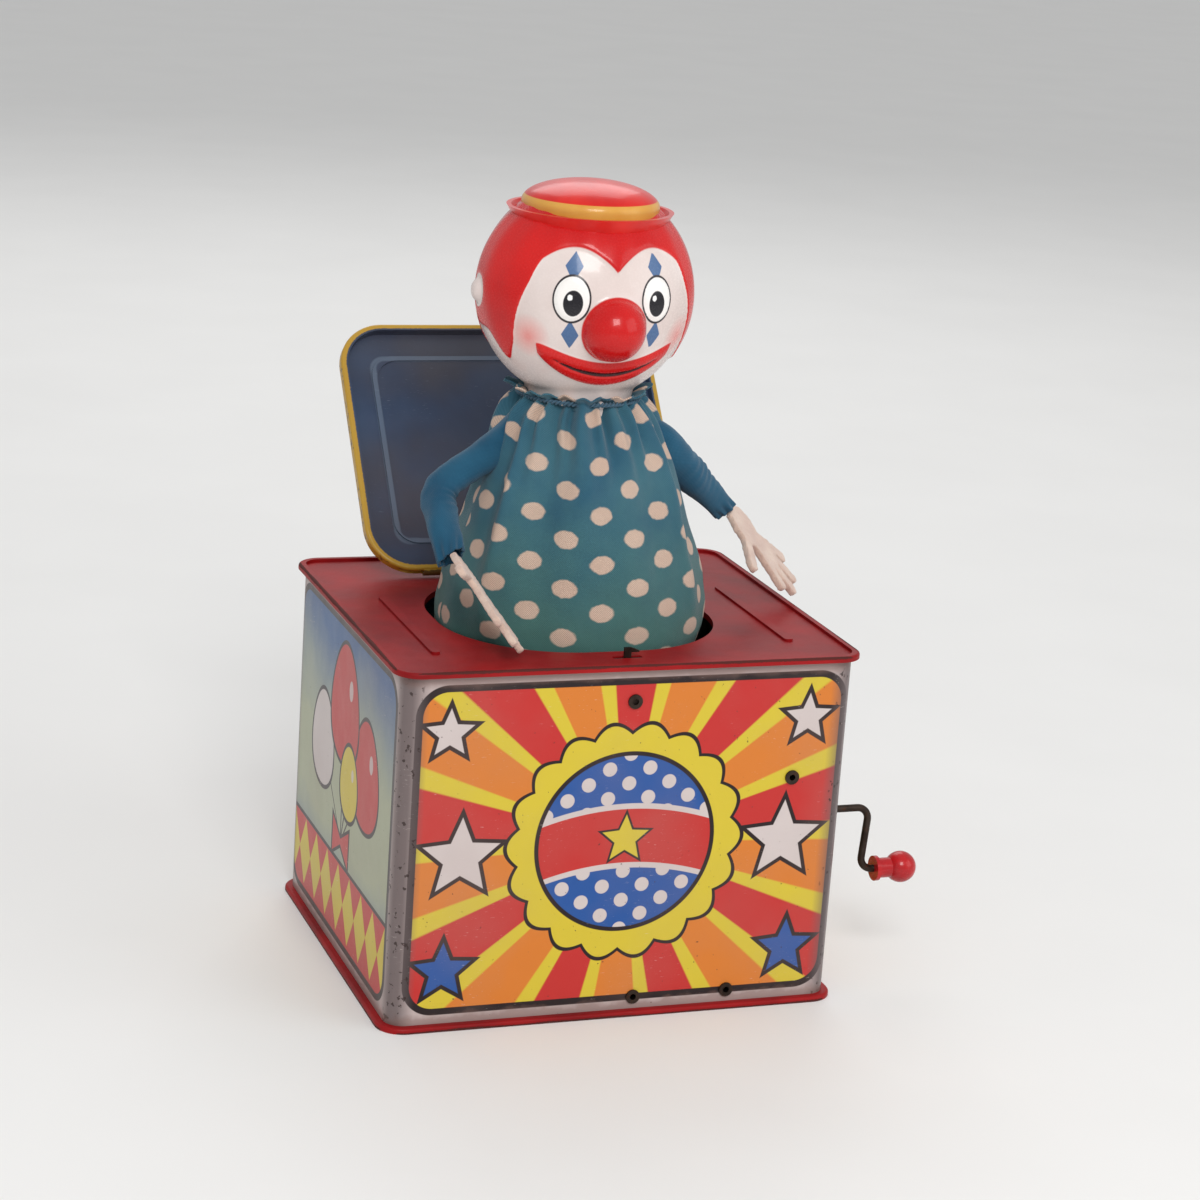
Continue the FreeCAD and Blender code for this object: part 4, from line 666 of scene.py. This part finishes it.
dress.data.materials.append(cotton("dotted_cotton", srgb(44, 90, 112), srgb(66, 111, 124), srgb(76, 116, 100),
                                   (11.0, 15.2, 3.65, 2.8)))
thickened(dress)
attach(dress, "box")
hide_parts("dress")
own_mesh(dress)

# The neck tie: a waxed two ply thread knotted round the gathers, which holds the cloth to the plug.
tie_radius, ply_radius, twists, tie_steps, ply_sides = 19.2, 0.42, 45, 400, 8
round_neck = np.linspace(0, 2 * np.pi, tie_steps, endpoint=False)
tie_mesh = bmesh.new()
for ply in (0, np.pi):
    lay = round_neck * twists + ply
    rings = []
    for k in range(ply_sides):
        a = 2 * np.pi * k / ply_sides
        reach = tie_radius + ply_radius * (np.cos(lay) + np.cos(a))
        rings.append(np.stack([puppet_x + reach * np.cos(round_neck), puppet_y + reach * np.sin(round_neck),
                               chin + ply_radius * (np.sin(lay) + np.sin(a))], axis=1))
    ply_points = np.stack(rings, axis=1)
    strand = cloth_grid("tie_ply", np.concatenate([ply_points, ply_points[:1]]), True)
    tie_mesh.from_mesh(strand.data)
    bpy.data.objects.remove(strand)
bmesh.ops.remove_doubles(tie_mesh, verts=tie_mesh.verts, dist=1e-6)
bmesh.ops.recalc_face_normals(tie_mesh, faces=tie_mesh.faces)
tie = new_piece("neck_thread", bpy.data.meshes.new("neck_thread"))
tie_mesh.to_mesh(tie.data)
tie_mesh.free()
thread = Finish("waxed_thread", sheen_weight=0.2)
fibre = thread.noise(1.5, 4)
thread_colour = thread.blend(srgb(36, 70, 92), srgb(62, 98, 118), fibre)
tie.data.materials.append(thread.done(thread_colour, fibre * 0.2 + 0.6, fibre, 0.0001))
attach(tie, "puppet")
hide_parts("neck_tie")

# The sleeves: plain blue cotton tubes sewn into the side seams, bent at the elbow and open at the
# cuff, where the hands are sewn in.
plain_cotton = cotton("plain_cotton", srgb(26, 76, 104), srgb(43, 99, 127), srgb(36, 86, 112))
sleeve_stations = {  # middle of each section, then its half height and half depth, in millimetres
    "left": [(-22, -7, 178, 6, 5.5), (-36, -9, 168, 5.2, 5), (-49.5, -12, 158.5, 5.6, 5),
             (-51.3, -20, 150, 5.2, 4.5), (-50.3, -28.5, 141, 4.4, 4)],
    "right": [(12, -6, 177.5, 6.2, 5.5), (27, -6, 169, 6.2, 5.5), (36.5, -3, 159.5, 5.8, 5),
              (45, 0, 152, 4.6, 4), (52, 2, 146, 4, 3.6)],
}
finger_ways = {"left": Vector((0.362, -0.711, -0.602)), "right": Vector((0.68, -0.06, -0.73))}
sleeve_rows, sleeve_columns, cuff_rows = 90, 72, 12


def smooth_line(knots, count):
    """A Catmull-Rom line through some rows of numbers."""
    knots = np.array(knots, float)
    ends = np.vstack([2 * knots[0] - knots[1], knots, 2 * knots[-1] - knots[-2]])
    line = []
    for s in np.linspace(0, len(knots) - 1 - 1e-9, count):
        i, f = int(s), s - int(s)
        a, b, c, d = ends[i:i + 4]
        line.append(0.5 * (2 * b + (c - a) * f + (2 * a - 5 * b + 4 * c - d) * f ** 2
                           + (3 * b - a - 3 * c + d) * f ** 3))
    return np.array(line)


def unit_rows(rows):
    """Each row made an arrow of length 1."""
    return rows / np.linalg.norm(rows, axis=1)[:, None]


def in_dress(places, margin=2.0):
    """True for each place, in millimetres, that is well under the cloth of the dress."""
    wide, deep, centre = dress_line(places[:, 2])
    across = (places[:, 0] - centre) / (wide - margin)
    along = (places[:, 1] - puppet_y) / (deep - margin)
    return (across ** 2 + along ** 2 < 1) & (places[:, 2] < collar_top)


sleeves = {}
for side, stations in sleeve_stations.items():
    line = smooth_line(stations, sleeve_rows)
    way = np.gradient(line[:, :3], axis=0)
    into_cuff = np.linspace(0, 1, cuff_rows)[:, None]
    way[-cuff_rows:] = way[-cuff_rows:] * (1 - into_cuff) + np.array(finger_ways[side])[None] * into_cuff
    way = unit_rows(way)
    tall_way = unit_rows(np.cross(way, (0, 1, 0)))
    flat_way = np.cross(tall_way, way)
    turn = np.linspace(0, 2 * np.pi, sleeve_columns, endpoint=False)[None, :]
    share = np.linspace(0, 1, sleeve_rows)[:, None]
    elbow = bell(share - 0.52, 0.16) * (0.5 + 0.5 * np.cos(turn - 0.6))
    cuff = bell(share - 1, 0.1)
    ruck = 0.4 * elbow * np.sin(share * 95 + 1.4 * np.cos(turn))
    ruck += 0.3 * np.cos(3 * turn + share * 9) + 0.45 * cuff * np.cos(9 * turn + share * 5)
    over, aside = np.cos(turn)[:, :, None], np.sin(turn)[:, :, None]
    points = (line[:, None, :3] + tall_way[:, None] * (line[:, 3:4] + ruck)[:, :, None] * over
              + flat_way[:, None] * (line[:, 4:5] + ruck)[:, :, None] * aside)
    wrinkles = crinkle(points, 0.11, 5.0) * 0.7
    points += (tall_way[:, None] * over + flat_way[:, None] * aside) * wrinkles[:, :, None]
    length = np.concatenate([[0], np.cumsum(np.linalg.norm(np.diff(line[:, :3], axis=0), axis=1))])
    flat_sides = [np.stack([(turn + shift) * 6.0 + 0 * share, length[:, None] + 0 * turn], axis=2)
                  for shift in (0, 2 * np.pi / sleeve_columns)]
    sleeve = cloth_grid(f"sleeve_cloth_{side}", points, True, flat_sides)
    shell = bmesh.new()
    shell.from_mesh(sleeve.data)
    covered = in_dress(points.reshape(-1, 3))
    hidden = [face for face in shell.faces if all(covered[corner.index] for corner in face.verts)]
    bmesh.ops.delete(shell, geom=hidden, context="FACES")
    bmesh.ops.recalc_face_normals(shell, faces=shell.faces)
    shell.to_mesh(sleeve.data)
    shell.free()
    sleeve.data.materials.append(plain_cotton)
    sleeves[side] = thickened(sleeve)
    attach(sleeve, "puppet")
    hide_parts(f"sleeve_{side}")

# The hands: two layers of thick cream felt cut with four fingers and a thumb, edge sewn, and closed
# into the cuffs.
felt = Finish("cream_felt", sheen_weight=0.4, sheen_roughness=0.6, specular_ior_level=0.15)
fuzz = felt.noise(1.4, 6, 0.75)
felt_colour = felt.mottled(srgb(206, 172, 156), srgb(226, 200, 182), felt.noise(0.12, 4))
felt_colour = felt.blend(felt_colour, srgb(166, 128, 112), fuzz.between(0.55, 0.75) * 0.5)
felt_material = felt.done(felt_colour, fuzz * 0.1 + 0.85, fuzz, 0.0005)


def softened(name, node, voxel, passes):
    """A formed piece drawn again as an even, softly rounded skin."""
    piece = new_piece(name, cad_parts[node].data.copy())
    piece.data.materials.clear()
    skin = bmesh.new()
    skin.from_mesh(piece.data)
    bmesh.ops.remove_doubles(skin, verts=skin.verts, dist=1e-6)
    skin.to_mesh(piece.data)
    skin.free()
    remesh = piece.modifiers.new("even", "REMESH")
    remesh.mode = "VOXEL"
    remesh.voxel_size = voxel
    soften = piece.modifiers.new("soften", "SMOOTH")
    soften.factor = 0.5
    soften.iterations = passes
    return settled(piece)


nap, nap_step, tuck = 0.00018, 700.0, 0.013
for side in ("left", "right"):
    hand = softened(f"felt_hand_{side}", f"hand_{side}", voxel=0.00045, passes=4)
    for point in hand.data.vertices:
        point.co += point.normal * nap * noise.noise(point.co * nap_step)
    hand.data.materials.append(felt_material)
    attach(hand, "puppet")
    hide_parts(f"hand_{side}")
    for piece in (sleeves[side], hand):
        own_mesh(piece)

# The head: blown in two halves of white plastic, with a ball nose and ears. Its hair, lips and eyes
# are raised a little, and its colours are sprayed through masks.
head = softened("painted_head", "clown_head", voxel=0.0008, passes=6)
head_wide, head_deep, head_tall, ear_out, ear_back = 34.0, 30.0, 34.0, 32.0, 2.0
face_drop, nose_out, nose_drop, nose_radius, ear_radius = 3.5, 28.0, 6.5, 10.45, 5.0
head_middle = np.array([puppet_x, puppet_y, corners("clown_head")[1][2] - head_tall])
spots = np.array([v.co for v in head.data.vertices]) * 1000 - head_middle
normals = np.array([v.normal for v in head.data.vertices])
paint_radius = 32.0
lon = np.arctan2(spots[:, 0] / head_wide, -spots[:, 1] / head_deep) * paint_radius
from_axis = np.hypot(spots[:, 0] / head_wide, spots[:, 1] / head_deep)
lat = np.arctan2(spots[:, 2] / head_tall, from_axis) * paint_radius + face_drop
off_middle = np.abs(lon)


def oval(a, b, half_a, half_b):
    """Distance outside an oval, near enough, in millimetres."""
    return (np.hypot(a / half_a, b / half_b) - 1) * min(half_a, half_b)


def lens(half_wide):
    """A factor that falls from 1 in the middle of the face to 0 this far to each side."""
    return np.sqrt(np.clip(1 - (off_middle / half_wide) ** 2, 0, 1))


# hair: two arches over the brow that meet in a peak, pointed sideburns, and longer behind the ears
peak_up, arch_rise, arch_wide = 13.5, 7.5, 27
arches = arch_rise * np.sin(np.pi * np.clip(off_middle / arch_wide, 0, 1)) ** 0.8
fringe = peak_up + arches - np.clip((off_middle - 24) / 9, 0, 1) ** 1.5 * 20
fringe -= 9 * bell(off_middle - 38, 4.5) + np.clip((off_middle - 57) / 15, 0, 1) * 20

# mouth and eyes: a wide smile that bends up to the cheeks, and upright oval eyes between diamonds
smile_up, smile_bend, lip_half_wide, lip_half_tall = -18.5, 0.0145, 25.0, 4.6
smile = smile_up + smile_bend * lon ** 2
lip_slope = np.sqrt(1 + (2 * smile_bend * lon) ** 2)
lip_edge = np.abs(lat - smile) / lip_slope - lip_half_tall * lens(lip_half_wide) - 0.4
lip_ends = np.hypot(off_middle - (lip_half_wide - 1.0), lat - smile)
lip_middle = np.maximum(lip_edge, off_middle - (lip_half_wide - 0.5))
lips = np.where(off_middle < lip_half_wide, lip_middle, lip_ends)
eye_out, eye_up, eye_half_wide, eye_half_tall = 13.5, 6.0, 5.2, 6.4
pupil_out = np.sign(lon) * 13.0
high_diamond = np.abs(off_middle - eye_out) / 2.9 + np.abs(lat - 15.4) / 4.6
low_diamond = np.abs(off_middle - eye_out) / 2.7 + np.abs(lat + 4.6) / 4.4
mirrored = np.hstack([np.abs(spots[:, :1]), spots[:, 1:]])
ears = np.linalg.norm(mirrored - [ear_out, ear_back, 0.0], axis=1) - ear_radius
features = {  # distances outside each painted shape
    "hair": np.maximum((fringe - lat) * 0.7, 0.3 - ears),
    "nose": np.linalg.norm(spots - np.array([0, -nose_out, -nose_drop]), axis=1) - nose_radius,
    "lips": lips,
    "mouth": np.maximum(np.abs(lat - smile - 0.4) - 0.75 * lens(19.0), off_middle - 19),
    "eyes": oval(off_middle - eye_out, lat - eye_up, eye_half_wide, eye_half_tall),
    "pupils": oval(lon - pupil_out, lat - 4.8, 2.9, 3.7),
    "glints": oval(lon - pupil_out + 1.0, lat - 6.4, 0.8, 0.9),
    "diamonds": (np.minimum(high_diamond, low_diamond) - 1) * 2.4,
    "cheeks": oval(off_middle - 27.0, lat + 6.5, 6.0, 5.6),
}


def step(distance, soft):
    """1 inside, 0 outside, with a smooth shoulder between."""
    t = np.clip(0.5 - distance / soft, 0, 1)
    return t * t * (3 - 2 * t)


outer_skin = np.sum(spots * normals, axis=1) > 0
locks = 0.5 + 0.5 * np.sin(lon * 0.55 + 1.2 * np.sin(lat * 0.12))
relief = 0.75 * step(features["hair"], 1.4) * (0.75 + 0.25 * locks)
relief += 0.8 * step(features["lips"] + 0.6, 2.6) - 0.7 * step(features["mouth"], 0.9)
relief += 0.45 * step(features["eyes"], 1.2) - 0.3 * step(np.abs(features["eyes"] + 0.1) - 0.25, 0.6)
relief *= outer_skin * (features["nose"] > 0.6)
moved = (spots + head_middle + normals * relief[:, None]) / 1000
head.data.vertices.foreach_set("co", moved.astype(np.float32).ravel())
for name, values in features.items():
    head.data.attributes.new(name, "FLOAT", "POINT").data.foreach_set("value", values.astype(np.float32))
skin = Finish("painted_head", coat_weight=0.3, coat_roughness=0.07, specular_ior_level=0.22)
cloud = skin.noise(0.05, 3)
grain = skin.noise(1.4, 4, 0.6)
red_spray = skin.mottled(srgb(190, 15, 17), srgb(208, 26, 24), cloud)
face = skin.mottled(srgb(212, 195, 189), srgb(226, 213, 208), cloud)
face = skin.blend(face, srgb(226, 120, 112), skin.stored("cheeks").between(1.5, -5.0) * 0.75)
face = skin.blend(face, srgb(74, 104, 146), skin.stored("diamonds").inside())
face = skin.blend(face, srgb(40, 34, 40), (skin.stored("eyes") - 0.55).inside())
for name, paint, soft in (("eyes", srgb(240, 236, 232), 0.2), ("pupils", srgb(30, 28, 34), 0.2),
                          ("glints", srgb(244, 242, 240), 0.2), ("lips", red_spray, 0.3),
                          ("mouth", srgb(52, 16, 20), 0.2), ("nose", red_spray, 0.3),
                          ("hair", red_spray, 0.3)):
    face = skin.blend(face, paint, skin.stored(name).inside(soft))
rubbed = skin.noise(0.7, 5, 0.7).between(0.66, 0.74) * skin.noise(0.08).between(0.5, 0.6)
face = skin.blend(face, srgb(176, 150, 142), rubbed * 0.35)
head.data.materials.append(skin.done(face, grain * 0.1 + rubbed * 0.2 + 0.22, cloud + grain * 0.03, 0.0002))
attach(head, "head")
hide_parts("clown_head")

# The hat: a low domed hat of the same plastic with a shallow turned up brim, red with a yellow
# band round the foot of the crown, glued on the head.
band_radius, band_middle, band_half = 23.4, head_middle[2] + head_tall - 7.5, 3.2
hat = Finish("hat_plastic", coat_weight=0.25, coat_roughness=0.1, specular_ior_level=0.22)
x, y, z = hat.axes()
in_band = disc(x - puppet_x, y - puppet_y, band_radius).inside() * (abs(z - band_middle) - band_half).inside()
cloud = hat.noise(0.08, 3)
grain = hat.noise(1.6, 4, 0.6)
hat_colour = hat.mottled(srgb(196, 24, 22), srgb(220, 42, 34), cloud)
yellow = hat.blend(srgb(206, 146, 58), srgb(222, 172, 84), hat.noise(0.15, 3))
hat_colour = hat.blend(hat_colour, yellow, in_band)
coat(hat.done(hat_colour, grain * 0.12 + 0.24, cloud + grain * 0.04, 0.0002), "clown_hat")
